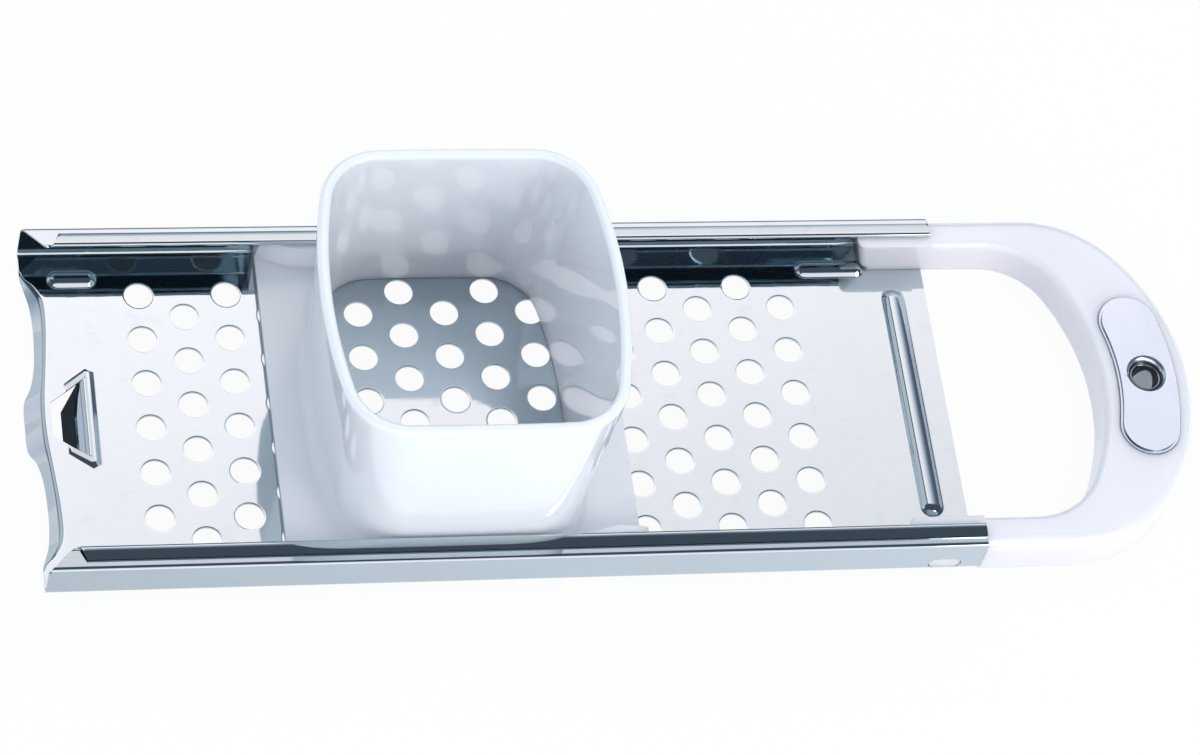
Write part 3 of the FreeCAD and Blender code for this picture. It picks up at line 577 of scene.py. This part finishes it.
def cup_ring(bm, z, grow=0.0):
    """One section of the cup at a height, grown outward by some millimetres.

    The ends and sides bow a little, and a corner arc touches both bows: its
    centre is where two circles about the bows' centres cross."""
    share = max(0, min(1, (z - PLATE_LOW) / (NECK - PLATE_LOW)))
    middle = FOOT_X + CUP_LEAN * share
    half_x = FOOT_HALF_X + CUP_SPREAD * share + grow
    half_y = FOOT_HALF_Y - CUP_DRAW * share + grow
    corner = FOOT_CORNER + CORNER_GAIN * share + grow
    end_radius = (half_y - grow) ** 2 / (2 * END_BOW)
    side_radius = (half_x - grow) ** 2 / (2 * SIDE_BOW)
    end_centre = Vector((half_x - end_radius, 0))
    side_centre = Vector((0, half_y - side_radius))
    between = side_centre - end_centre
    to_end, to_side = end_radius - corner, side_radius - corner
    along = (to_end ** 2 - to_side ** 2 + between.length ** 2) / (2 * between.length)
    across = math.sqrt(to_end ** 2 - along ** 2)
    step = between.normalized()
    centre = end_centre + step * along + Vector((-step.y, step.x)) * across
    end_angle = math.degrees(math.atan2(centre.y, centre.x - end_centre.x))
    side_angle = math.degrees(math.atan2(centre.y - side_centre.y, centre.x)) - end_angle
    rest = 90 - end_angle - side_angle
    pen = Pen(bm, middle + half_x, 0, z)
    for flip_x, flip_y in ((1, 1), (-1, 1), (-1, -1), (1, -1)):
        arcs = [((end_centre.x, 0), end_angle, 10),
                ((centre.x, centre.y), side_angle, 14),
                ((0, side_centre.y), rest, 9)]
        if flip_x != flip_y:
            arcs.reverse()
        for (x, y), angle, steps in arcs:
            pen.turn((middle + flip_x * x, flip_y * y, z), angle, steps)
    return pen.close_on_start()


def stack(bm, rings):
    """Bridges the sections and closes the two ends, which makes a solid."""
    loops = [cup_ring(bm, z, grow) for z, grow in rings]
    for lower, upper in zip(loops, loops[1:]):
        bmesh.ops.bridge_loops(bm, edges=loop_edges(lower) + loop_edges(upper))
    for loop in (loops[0], loops[-1]):
        bmesh.ops.contextual_create(bm, geom=loop_edges(loop))
    bmesh.ops.recalc_face_normals(bm, faces=bm.faces)
    return bm


print("cup sections from", PLATE_LOW, "to", RIM_TOP, "mm")

# %% Cup and cavity
FOOT = [(4.4, 10.2), (3.0, 10.5), (1.9, 11.0), (1.1, 11.8), (0.55, 12.8), (0.2, 14.0), (0, 15.6)]
CROWN_OUT = [(0, 85.1), (-0.12, 85.75), (-0.5, 86.4), (-1.05, 86.83), (-1.65, RIM_TOP)]
WALL = 3.9
CROWN_IN = [(-WALL, 85.2), (-WALL + 0.1, 85.8), (-WALL + 0.45, 86.4), (-WALL + 0.95, 86.8),
            (-WALL + 1.45, RIM_TOP), (-WALL + 1.45, RIM_TOP + 1)]
LEVELS = (23, 40, 60, 78, NECK)

cup = stack(bmesh.new(), [(PLATE_LOW + 0.4, 4.4)] + [(z, grow) for grow, z in FOOT]
            + [(z, 0) for z in LEVELS] + [(z, grow) for grow, z in CROWN_OUT])
cavity = stack(bmesh.new(), [(z, -WALL) for z in (4, *LEVELS)]
               + [(z, grow) for grow, z in CROWN_IN])
print("cup:", len(cup.faces), "faces, cavity:", len(cavity.faces))

# %% [markdown]
# The base is an end view pulled along the tray. Its runners open out towards
# their ends, so the section is drawn anew at a few stations.

# %% Base with its runners
RUNNER_OUT, INNER_FOOT, INNER_TOP = 64.7, 55.3, 57.3
STATIONS = (  # along the tray, foot of the runner's inner face, its top edge
    (HOPPER_START, 60.6, 57.9), (-119.4, 60.3, 57.9), (-117.3, 59.4, 58.3), (-115.3, 58.6, 58.4),
    (-112.0, 57.2, 57.6), (-108.8, 56.0, 56.6), (-102.2, 55.6, 56.6), (-92.0, 55.3, 57.3),
    (-28.0, 55.3, 57.3), (-20.0, 55.0, 56.4), (-14.5, 53.2, 54.6), (-9.6, 52.4, 53.6),
    (-3.5, 52.9, 54.0), (HOPPER_END, 53.4, 54.6))


def base_section(y, z, station):
    """Where a point of the end view lies at one station."""
    x, foot, top = station
    moved = {INNER_FOOT: foot, INNER_TOP: top}.get(abs(y), abs(y))
    return (x, math.copysign(moved, y), z)


base = bmesh.new()
end_view = [(63.1, PLATE_LOW), (RUNNER_OUT, PLATE_LOW + 1.6), (RUNNER_OUT, RUNNER_TOP - 0.9),
            (RUNNER_OUT - 0.9, RUNNER_TOP), (INNER_TOP, RUNNER_TOP), (INNER_FOOT, PLATE_TOP)]
end_view += [(-y, z) for y, z in reversed(end_view)]
section = Pen(base, HOPPER_START, *end_view[0])
for y, z in end_view[1:]:
    section.run(HOPPER_START, y, z)
section.close()
loops = [section.verts]
for station in STATIONS[1:]:
    loops.append(grown_from(base, loops[-1], loop_edges(loops[-1])))
for loop, station in zip(loops, STATIONS):
    for vert, (y, z) in zip(loop, end_view):
        vert.co = base_section(y, z, station)
for loop in (loops[0], loops[-1]):
    bmesh.ops.contextual_create(base, geom=loop_edges(loop))
bmesh.ops.recalc_face_normals(base, faces=base.faces)
print("base:", len(base.faces), "faces")

# %% One moulding
hopper = carve("hopper", carve("hopper", base, cup, "UNION"), cavity)
dough_hopper = new_piece("dough_hopper", hopper, "hopper", "hopper")
soften(dough_hopper, 0.45, 3, 30)

# %% [markdown]
# ## The hoop handle
#
# The handle is a solid white hoop with two prongs that snap into the tray's
# channels. Its outline is a chain of runs and tangent arcs, raised to the
# handle's height. The edges are bevelled loop by loop, because the outer
# top edge is much rounder than the inner one.

# %% Hoop
HANDLE_LOW, HANDLE_TOP, HANDLE_BACK = 5.5, 22.0, 117.2
CORNER_X, CORNER_Y, CORNER_TURN = 151, 22, 50.04
NOSE_X, NOSE_TURN = 124.75, 79.92
GRIP_HALF, GRIP_X, GRIP_Y, GRIP_TURN = 54, 137, 28, 61.93
GRIP_NOSE_X, GRIP_NOSE_TURN = 84.5, 56.14
PAST_X, PAST_Y, PAST_NOSE = 128, 60, 66  # beyond these lie only outside edges


def hoop_path(pen, z):
    """The hoop's outline: once round the outside, then back round the grip."""
    pen.run(CORNER_X, -HALF, z).turn((CORNER_X, -CORNER_Y, z), CORNER_TURN, 14)
    pen.turn((NOSE_X, 0, z), NOSE_TURN, 28).turn((CORNER_X, CORNER_Y, z), CORNER_TURN, 14)
    pen.run(HANDLE_BACK, HALF, z).run(HANDLE_BACK, GRIP_HALF, z).run(GRIP_X, GRIP_HALF, z)
    pen.turn((GRIP_X, GRIP_Y, z), -GRIP_TURN, 14)
    pen.turn((GRIP_NOSE_X, 0, z), -GRIP_NOSE_TURN, 24)
    return pen.turn((GRIP_X, -GRIP_Y, z), -GRIP_TURN, 14).run(HANDLE_BACK, -GRIP_HALF, z)


hoop = bmesh.new()
outline = hoop_path(Pen(hoop, HANDLE_BACK, -HALF, HANDLE_LOW), HANDLE_LOW).close()
pull_solid(hoop, outline.verts, (0, 0, HANDLE_TOP - HANDLE_LOW))


def along_hoop(height, outer):
    """The long edges at one height that follow the outside or the grip."""
    found = []
    for edge in hoop.edges:
        if all(abs(v.co.z - height) < 0.01 for v in edge.verts):
            if all(abs(v.co.x - HANDLE_BACK) < 0.01 for v in edge.verts):
                continue
            x, y, _ = (edge.verts[0].co + edge.verts[1].co) / 2
            round_nose = x > PAST_X and math.hypot(x - NOSE_X, y) > PAST_NOSE
            if (abs(y) > PAST_Y or round_nose) == outer:
                found.append(edge)
    return found


for height, outer, radius, segments in ((HANDLE_TOP, True, 5.0, 7), (HANDLE_TOP, False, 2.6, 5),
                                        (HANDLE_LOW, True, 1.5, 3), (HANDLE_LOW, False, 1.5, 3)):
    bmesh.ops.bevel(hoop, geom=along_hoop(height, outer), affect="EDGES", offset=radius,
                    segments=segments, profile=0.5, material=-1, clamp_overlap=False)
bmesh.ops.recalc_face_normals(hoop, faces=hoop.faces)
print("hoop:", len(hoop.faces), "faces")

# %% Prongs and snap lugs
PRONG_VIEW = ((91, 22), (117.6, 22), (117.6, 7.2), (97, 7.2), (97, 9.0), (94.4, 9.0))
TOP_CUT = ((70, 21.3), (64.2, 21.3), (61.0, 21.75), (60.0, 23), (70, 23))
LOW_CUT = ((70, 6), (63.0, 6), (63.0, 7.3), (64.9, 9.2), (70, 9.2))
CUT_START, CUT_LENGTH = 88, 29.3

for side in (1, -1):
    prongs = bmesh.new()
    block(prongs, [(x, side * GRIP_HALF, z) for x, z in PRONG_VIEW], (0, side * 11, 0))
    nose = [edge for edge in prongs.edges if all(
        vert.co.x < 95 and abs(vert.co.y) == GRIP_HALF for vert in edge.verts)]
    bmesh.ops.bevel(prongs, geom=nose, affect="EDGES", offset=2.4, segments=5, profile=0.5,
                    material=-1, clamp_overlap=False)
    for cut in (TOP_CUT, LOW_CUT):
        chip = bmesh.new()
        block(chip, [(CUT_START, side * y, z) for y, z in cut], (CUT_LENGTH, 0, 0))
        prongs = carve("prong", prongs, chip)
    lug = bmesh.new()
    snap_solid(lug, side * 64, LUG_RADIUS, 14, side * 1.85)
    prongs = carve("prong", prongs, lug, "UNION")
    hoop = carve("hoop", hoop, prongs, "UNION")
print("hoop with prongs:", len(hoop.faces), "faces")

# %% [markdown]
# ## The inlay plate and the hanging eyelet
#
# A kidney-shaped metal plate is let into the hoop, and a chrome tube runs
# through both, so the tool can hang from a hook. The plate's outline is two
# arcs about the same centre joined by round ends. The handle's recess is the
# same outline drawn a hair larger, so plate and recess always fit.

# %% Inlay outline
INLAY_X, INLAY_R, INLAY_ARC, CAP_Y = 186.2, 10.6, 85.0, 21.0
SEAT, RECESS_GAP, BORE = 20.0, 0.3, 5.15
PLATE_RISE, RAISED_LOW, RAISED_RISE, RAISED_EDGE = 2.45, 21.0, 2.2, 0.85


def inlay_ring(bm, z, grow=0.0):
    """The plate's outline at a height, grown outward by some millimetres."""
    centre_x = INLAY_X - INLAY_ARC
    half = math.degrees(math.asin(CAP_Y / INLAY_ARC))
    cap_x = centre_x + math.sqrt(INLAY_ARC ** 2 - CAP_Y ** 2)
    radius = INLAY_R + grow
    start = Vector((INLAY_ARC + radius, 0, z))
    start.rotate(Matrix.Rotation(math.radians(-half), 3, "Z"))
    pen = Pen(bm, centre_x + start.x, start.y, z)
    pen.turn((centre_x, 0, z), 2 * half, 18).turn((cap_x, CAP_Y, z), 180, 20)
    pen.turn((centre_x, 0, z), -2 * half, 18).turn((cap_x, -CAP_Y, z), 180, 20)
    return pen.close_on_start()


def spun(bm, profile):
    """Turns a closed profile of radius and height round the hanging hole."""
    pen = Pen(bm, INLAY_X + profile[0][0], 0, profile[0][1])
    for radius, z in profile[1:]:
        pen.run(INLAY_X + radius, 0, z)
    pen.close()
    bmesh.ops.spin(bm, geom=pen.verts + loop_edges(pen.verts), cent=(INLAY_X, 0, 0),
                   axis=(0, 0, 1), angle=math.radians(360), steps=48, use_merge=True)
    bmesh.ops.remove_doubles(bm, verts=bm.verts, dist=0.001)
    bmesh.ops.recalc_face_normals(bm, faces=bm.faces)
    return bm


recess = bmesh.new()
pull_solid(recess, inlay_ring(recess, SEAT, RECESS_GAP), (0, 0, 5))
hoop = carve("hoop", hoop, recess)
bore = bmesh.new()
bmesh.ops.create_cone(bore, cap_ends=True, segments=48, radius1=BORE, radius2=BORE, depth=40)
bmesh.ops.translate(bore, verts=bore.verts, vec=(INLAY_X, 0, 10))
hoop = carve("hoop", hoop, bore)
hoop_handle = new_piece("hoop_handle", hoop, "frame", "handle")
soften(hoop_handle, 0.3, 2, 40)

# %% Inlay plate
plate = bmesh.new()
pull_solid(plate, inlay_ring(plate, SEAT), (0, 0, PLATE_RISE))
raised = bmesh.new()
pull_solid(raised, inlay_ring(raised, RAISED_LOW, -RAISED_EDGE), (0, 0, RAISED_RISE))
plate = carve("inlay", plate, raised, "UNION")
funnel = bmesh.new()
# The radius of 0.001 keeps the profile off the axis. It leaves a needle 0.002 mm
# across there, as a stray body of the plate.
spun(funnel, [(0.001, 18.0), (5.75, 18.0), (5.75, 20.7), (5.9, 21.5), (6.4, 22.5), (7.6, 23.25),
              (7.6, 25), (0.001, 25)])
plate = carve("inlay", plate, funnel)
inlay_plate = new_piece("inlay_plate", plate, "frame", "handle_inlay")
soften(inlay_plate, 0.45, 4, 50)

# %% Hanging eyelet
tube = spun(bmesh.new(), [
    (4.6, 5.8), (4.6, 20.6), (4.75, 20.9), (5.05, 21.0), (5.45, 20.95), (5.68, 20.75),
    (5.7, 20.5), (5.55, 20.3), (5.1, 20.2), (5.1, 6.4), (5.5, 6.2), (5.7, 5.9), (5.6, 5.6),
    (5.2, 5.5), (4.8, 5.55)])
eyelet_tube = new_piece("eyelet_tube", tube, "frame", "hanging_eyelet")
soften(eyelet_tube, 0.05, 1, 60)

# %% [markdown]
# ## Finishes
#
# A finish is a small network of nodes. The class below lets the lesson write
# shader maths the way it is said, such as wear = mask * 0.2 + 0.1: each sum
# or product of wires adds one Math node. Every pattern reads Object
# coordinates, which are metres on the real tool.

# %% Wires
class Wire:
    """A socket of a material's node tree, with arithmetic."""

    def __init__(self, socket):
        self.socket = socket

    def node(self, kind, settings=None, inputs=None, output=0):
        """Adds a node, sets it up, feeds it, and returns a wire from it."""
        tree = self.socket.id_data
        made = tree.nodes.new("ShaderNode" + kind)
        for name, value in (settings or {}).items():
            setattr(made, name, value)
        for name, value in (inputs or {}).items():
            socket = made.inputs[name] if isinstance(name, int) else next(
                s for s in made.inputs if s.enabled and s.name == name)
            if isinstance(value, Wire):
                tree.links.new(value.socket, socket)
            else:
                socket.default_value = value
        outputs = [s for s in made.outputs if s.enabled]
        return Wire(made.outputs[output] if isinstance(output, str) else outputs[output])

    def math(self, operation, *others):
        return self.node("Math", {"operation": operation},
                         dict(enumerate((self, *others))))

    def __add__(self, other):
        return self.math("ADD", other)

    def __mul__(self, other):
        return self.math("MULTIPLY", other)

    def __sub__(self, other):
        return self.math("SUBTRACT", other)

    def __rsub__(self, other):
        return (self * -1) + other

    __radd__ = __add__
    __rmul__ = __mul__

    def limit(self, low, high, to_low=0.0, to_high=1.0):
        """Maps low..high to to_low..to_high with soft ends."""
        return self.node("MapRange", {"interpolation_type": "SMOOTHSTEP"},
                         {"Value": self, "From Min": low, "From Max": high,
                          "To Min": to_low, "To Max": to_high})

    def noise(self, scale, detail=3.0, stretch=(1, 1, 1)):
        placed = self.node("Mapping", None, {"Vector": self, "Scale": stretch})
        return self.node("TexNoise", None, {"Vector": placed, "Scale": scale,
                                            "Detail": detail, "Roughness": 0.55})

    def blend(self, first, second):
        """Mixes two colours by this wire's value."""
        return self.node("Mix", {"data_type": "RGBA"},
                         {"Factor": self, "A": first, "B": second})


def new_finish(name):
    """A material, its main shader, and a wire with Object coordinates."""
    material = bpy.data.materials.new(name)
    material.use_nodes = True
    shader = material.node_tree.nodes["Principled BSDF"]
    where = Wire(shader.inputs["Base Color"]).node("TexCoord", output="Object")
    return material, shader, where


def feed(shader, name, wire):
    wire.socket.id_data.links.new(wire.socket, shader.inputs[name])


def dress(piece, material):
    piece.data.materials.clear()
    piece.data.materials.append(material)
    print(piece.name, "wears", material.name)


print("wires ready")

# %% [markdown]
# ### Polished steel
# Rolled and polished sheet is nearly a mirror, but never a clean one: faint
# lengthwise polishing marks, broad cloudy patches where the polish is a
# little duller, and a few fingerprints. The clouds only change roughness
# and tint slightly, because steel that is painted with spots looks dirty.

# %% Steel
polished, shader, where = new_finish("polished_steel")
shader.inputs["Metallic"].default_value = 1.0
clouds = where.noise(38, 4)
marks = where.noise(900, 2, (0.08, 1, 1))
smudges = where.noise(120, 2).limit(0.6, 0.72)
feed(shader, "Roughness", clouds * 0.03 + marks * 0.02 + smudges * 0.04 + 0.02)
feed(shader, "Base Color", (clouds * 0.6 + marks * 0.25 + smudges * 0.3).blend(
    (0.6, 0.685, 0.72, 1), (0.54, 0.62, 0.655, 1)))
bump = marks.node("Bump", None, {"Height": marks * 0.4 + clouds, "Strength": 0.02,
                                 "Distance": 0.0005})
feed(shader, "Normal", bump)
dress(tray_sheet, polished)

# %% [markdown]
# ### White plastic
# The hopper and handle are moulded in the same hard white plastic, in two
# slightly different tints. Its skin is glossy under a clear coat and faintly
# uneven, like all thick mouldings. Light sinks a few millimetres into it
# (subsurface), which keeps the inside of the cup from going grey.

# %% White plastic
def white_plastic(name, tint, gloss):
    """The plastic's finish in one tint, with a given roughness."""
    material, shader, where = new_finish(name)
    for socket, value in (("IOR", 1.5), ("Coat IOR", 1.5), ("Coat Roughness", 0.03),
                          ("Subsurface Weight", 0.7), ("Subsurface Radius", (1, 1, 1)),
                          ("Subsurface Scale", 0.008)):
        shader.inputs[socket].default_value = value
    flow = where.noise(22, 2)
    grain = where.noise(1400, 2)
    feed(shader, "Base Color", flow.limit(0.35, 0.65).blend(
        (*tint, 1), (*[channel * 0.975 for channel in tint], 1)))
    feed(shader, "Roughness", flow * 0.08 + grain * 0.04 + gloss)
    feed(shader, "Coat Weight", 0.85 - flow * 0.2)
    bump = grain.node("Bump", None, {"Height": grain * 0.3 + flow, "Strength": 0.03,
                                     "Distance": 0.0004})
    feed(shader, "Normal", bump)
    return material


dress(dough_hopper, white_plastic("hopper_white", (0.925, 0.93, 0.975), 0.24))
dress(hoop_handle, white_plastic("handle_white", (0.86, 0.825, 0.845), 0.28))

# %% [markdown]
# ### Satin inlay and chrome
# The inlay is blasted to an even satin that looks almost white, with very
# fine grain. The eyelet is a plated tube with only a trace of haze. It sits
# deep in the hole, where the plating shows dark, so its colour is painted
# shade: a dark grey instead of the chrome's own bright colour.

# %% Inlay and eyelet
satin, shader, where = new_finish("satin_inlay")
shader.inputs["Metallic"].default_value = 1.0
grain = where.noise(2600, 2)
patches = where.noise(60, 2)
feed(shader, "Base Color", patches.blend((0.728, 0.82, 0.92, 1), (0.68, 0.77, 0.872, 1)))
feed(shader, "Roughness", grain * 0.06 + patches * 0.05 + 0.2)
feed(shader, "Normal", grain.node("Bump", None, {"Height": grain, "Strength": 0.05,
                                                 "Distance": 0.0002}))
dress(inlay_plate, satin)
chrome, shader, where = new_finish("chrome_painted_shade")
shader.inputs["Metallic"].default_value = 1.0
haze = where.noise(300, 2)
# Painted shade: both greys are darkened for the dark that the plating shows deep in the hole,
# and the haze only varies them.
feed(shader, "Base Color", haze.blend((0.3, 0.33, 0.35, 1), (0.24, 0.26, 0.28, 1)))
feed(shader, "Roughness", haze * 0.05 + 0.05)
dress(eyelet_tube, chrome)

# %% [markdown]
# ## Studio
#
# Polished steel shows the room, so the room is designed for it: a broad pale
# panel behind the tool that the flat floor mirrors, a glow along the horizon, a
# bright patch far to the front, and darkness between them that the folds
# mirror. The room seen by mirrors is a gradient in the world shader: each term
# below fades one part of it in or out along X, Y or Z of the direction. Light
# that the folds mirror more than once finds a dimmer room. What falls on plain
# surfaces is a slightly blue light, stronger and less blue from the front. A
# lamp at the front right does the modelling, and a weak one at the back left
# keeps the far sides from going flat.

# %% World
world = bpy.data.worlds.new("studio")
scene.world = world
world.use_nodes = True
ambient = world.node_tree.nodes["Background"]
start = Wire(ambient.inputs["Color"])
path = start.node("LightPath", output="Is Glossy Ray")
seen = start.node("LightPath", output="Is Camera Ray")
direction = start.node("TexCoord", output="Generated")
x, y, z = (direction.node("SeparateXYZ", None, {"Vector": direction}, axis)
           for axis in range(3))
front = (y * -1).math("MAXIMUM", 0.0)
sky_colour = front.blend((0.775, 0.89, 1.01, 1), (0.79, 0.81, 0.89, 1))
world.node_tree.links.new(sky_colour.socket, ambient.inputs["Color"])
world.node_tree.links.new((front * 0.58 + 0.84).socket, ambient.inputs["Strength"])
panel = (y.limit(0.27, 0.42) * y.limit(0.78, 0.88, 1.0, 0.0)
         * x.limit(-0.34, -0.05) * x.limit(0.4, 0.8, 1.0, 0.1) * z.limit(0.2, 0.6))
horizon = (z.limit(0.0, 0.5, 0.85, 0.0) * x.limit(-0.2, 0.5, 1.0, 0.15)
           * y.limit(0.75, 0.93, 1.0, 0.2))
level = (panel * (y.limit(0.43, 0.54, 1.22, 1.52) - x * 0.5) * y.limit(0.56, 0.68, 1.0, 0.8)
         + horizon + y.limit(-0.7, -0.54, 1.1, 0.0) + 0.1)
level = level * start.node("LightPath", output="Ray Depth").limit(2.0, 3.0, 1.0, 0.28)
mirrored = start.node("Background", None, {
    "Color": level.limit(0, 1.4).blend((0.72, 0.93, 1.2, 1), (1.04, 0.935, 0.945, 1)),
    "Strength": level})
backdrop = start.node("Background", None, {"Color": (1, 1, 1, 1), "Strength": 1.0})
first = path.node("MixShader", None, {0: path, 1: Wire(ambient.outputs[0]), 2: mirrored})
final = seen.node("MixShader", None, {0: seen, 1: first, 2: backdrop})
world.node_tree.links.new(final.socket, world.node_tree.nodes["World Output"].inputs["Surface"])
print("world has", len(world.node_tree.nodes), "nodes")

# %% Lamps
AIM = Vector((0, 0, 0.04))


def lamp(name, place, size, power, colour):
    """A round area lamp that points at the tool."""
    data = bpy.data.lights.new(name, "AREA")
    data.shape = "DISK"
    data.size = size
    data.energy = power
    data.color = colour
    thing = bpy.data.objects.new(name, data)
    thing.location = place
    thing.rotation_euler = (AIM - Vector(place)).to_track_quat("-Z", "Y").to_euler()
    scene.collection.objects.link(thing)


lamp("front_key", (1.3, -1.5, 1.35), 1.2, 17, (1.0, 0.99, 0.985))
lamp("back_fill", (-1.5, 1.3, 1.5), 1.6, 4, (0.95, 0.97, 1.0))
print("two lamps set")

# %% [markdown]
# The floor is plain white. It mostly glows for the camera and for mirrors,
# so the ground stays white through the dough holes, and the remaining part
# is matt, so the tool still drops a soft shadow on it. Mirrors see a ground
# that is a little dimmer beyond the pot end, and much dimmer for light that has
# been mirrored more than once inside the folds.

# %% Floor
floor_bm = bmesh.new()
bmesh.ops.create_grid(floor_bm, x_segments=1, y_segments=1, size=8)
floor_mesh = bpy.data.meshes.new("studio_floor")
floor_bm.to_mesh(floor_mesh)
floor_bm.free()
studio_floor = bpy.data.objects.new("studio_floor", floor_mesh)
scene.collection.objects.link(studio_floor)
paper, shader, where = new_finish("floor_paper")
shader.inputs["Base Color"].default_value = (0.9, 0.9, 0.9, 1)
shader.inputs["Roughness"].default_value = 0.9
shader.inputs["Specular IOR Level"].default_value = 0.0
camera_ray = where.node("LightPath", output="Is Camera Ray")
glossy_ray = where.node("LightPath", output="Is Glossy Ray")
glass_ray = where.node("LightPath", output="Is Transmission Ray")
first_look = where.node("LightPath", output="Ray Depth").limit(1.0, 2.0, 1.0, 0.25)
pot_side = where.node("SeparateXYZ", None, {"Vector": where}).limit(-0.3, 0.2, 0.22, 0.0)
shows = (camera_ray + glossy_ray + glass_ray).math("MINIMUM", 1.0) * 0.95
glow = where.node("Emission", None, {
    "Color": glossy_ray.blend((1, 1, 1, 1), (0.95, 0.985, 1.06, 1)),
    "Strength": first_look - glossy_ray * pot_side})
mixed = shows.node("MixShader", None, {0: shows, 1: Wire(shader.outputs[0]), 2: glow})
paper.node_tree.links.new(mixed.socket,
                          paper.node_tree.nodes["Material Output"].inputs["Surface"])
dress(studio_floor, paper)

# %% [markdown]
# ## Camera
# The camera stands well back with a long lens, so the tray's sides stay
# almost parallel.

# %% Camera
camera_data = bpy.data.cameras.new("camera")
camera_data.sensor_width = 36
camera_data.lens = 144.17
camera = bpy.data.objects.new("camera", camera_data)
right = Vector((0.9739, -0.1309, 0.1857)).normalized()
forward = Vector((0.2264, 0.4935, -0.8398)).normalized()
up = right.cross(forward)
camera.matrix_world = Matrix.Translation((-0.3792, -0.8035, 1.3948)) @ Matrix(
    (right, up, -forward)).transposed().to_4x4()
scene.collection.objects.link(camera)
scene.camera = camera
scene.view_settings.view_transform = "Standard"
print("camera at", [round(value, 3) for value in camera.matrix_world.translation])
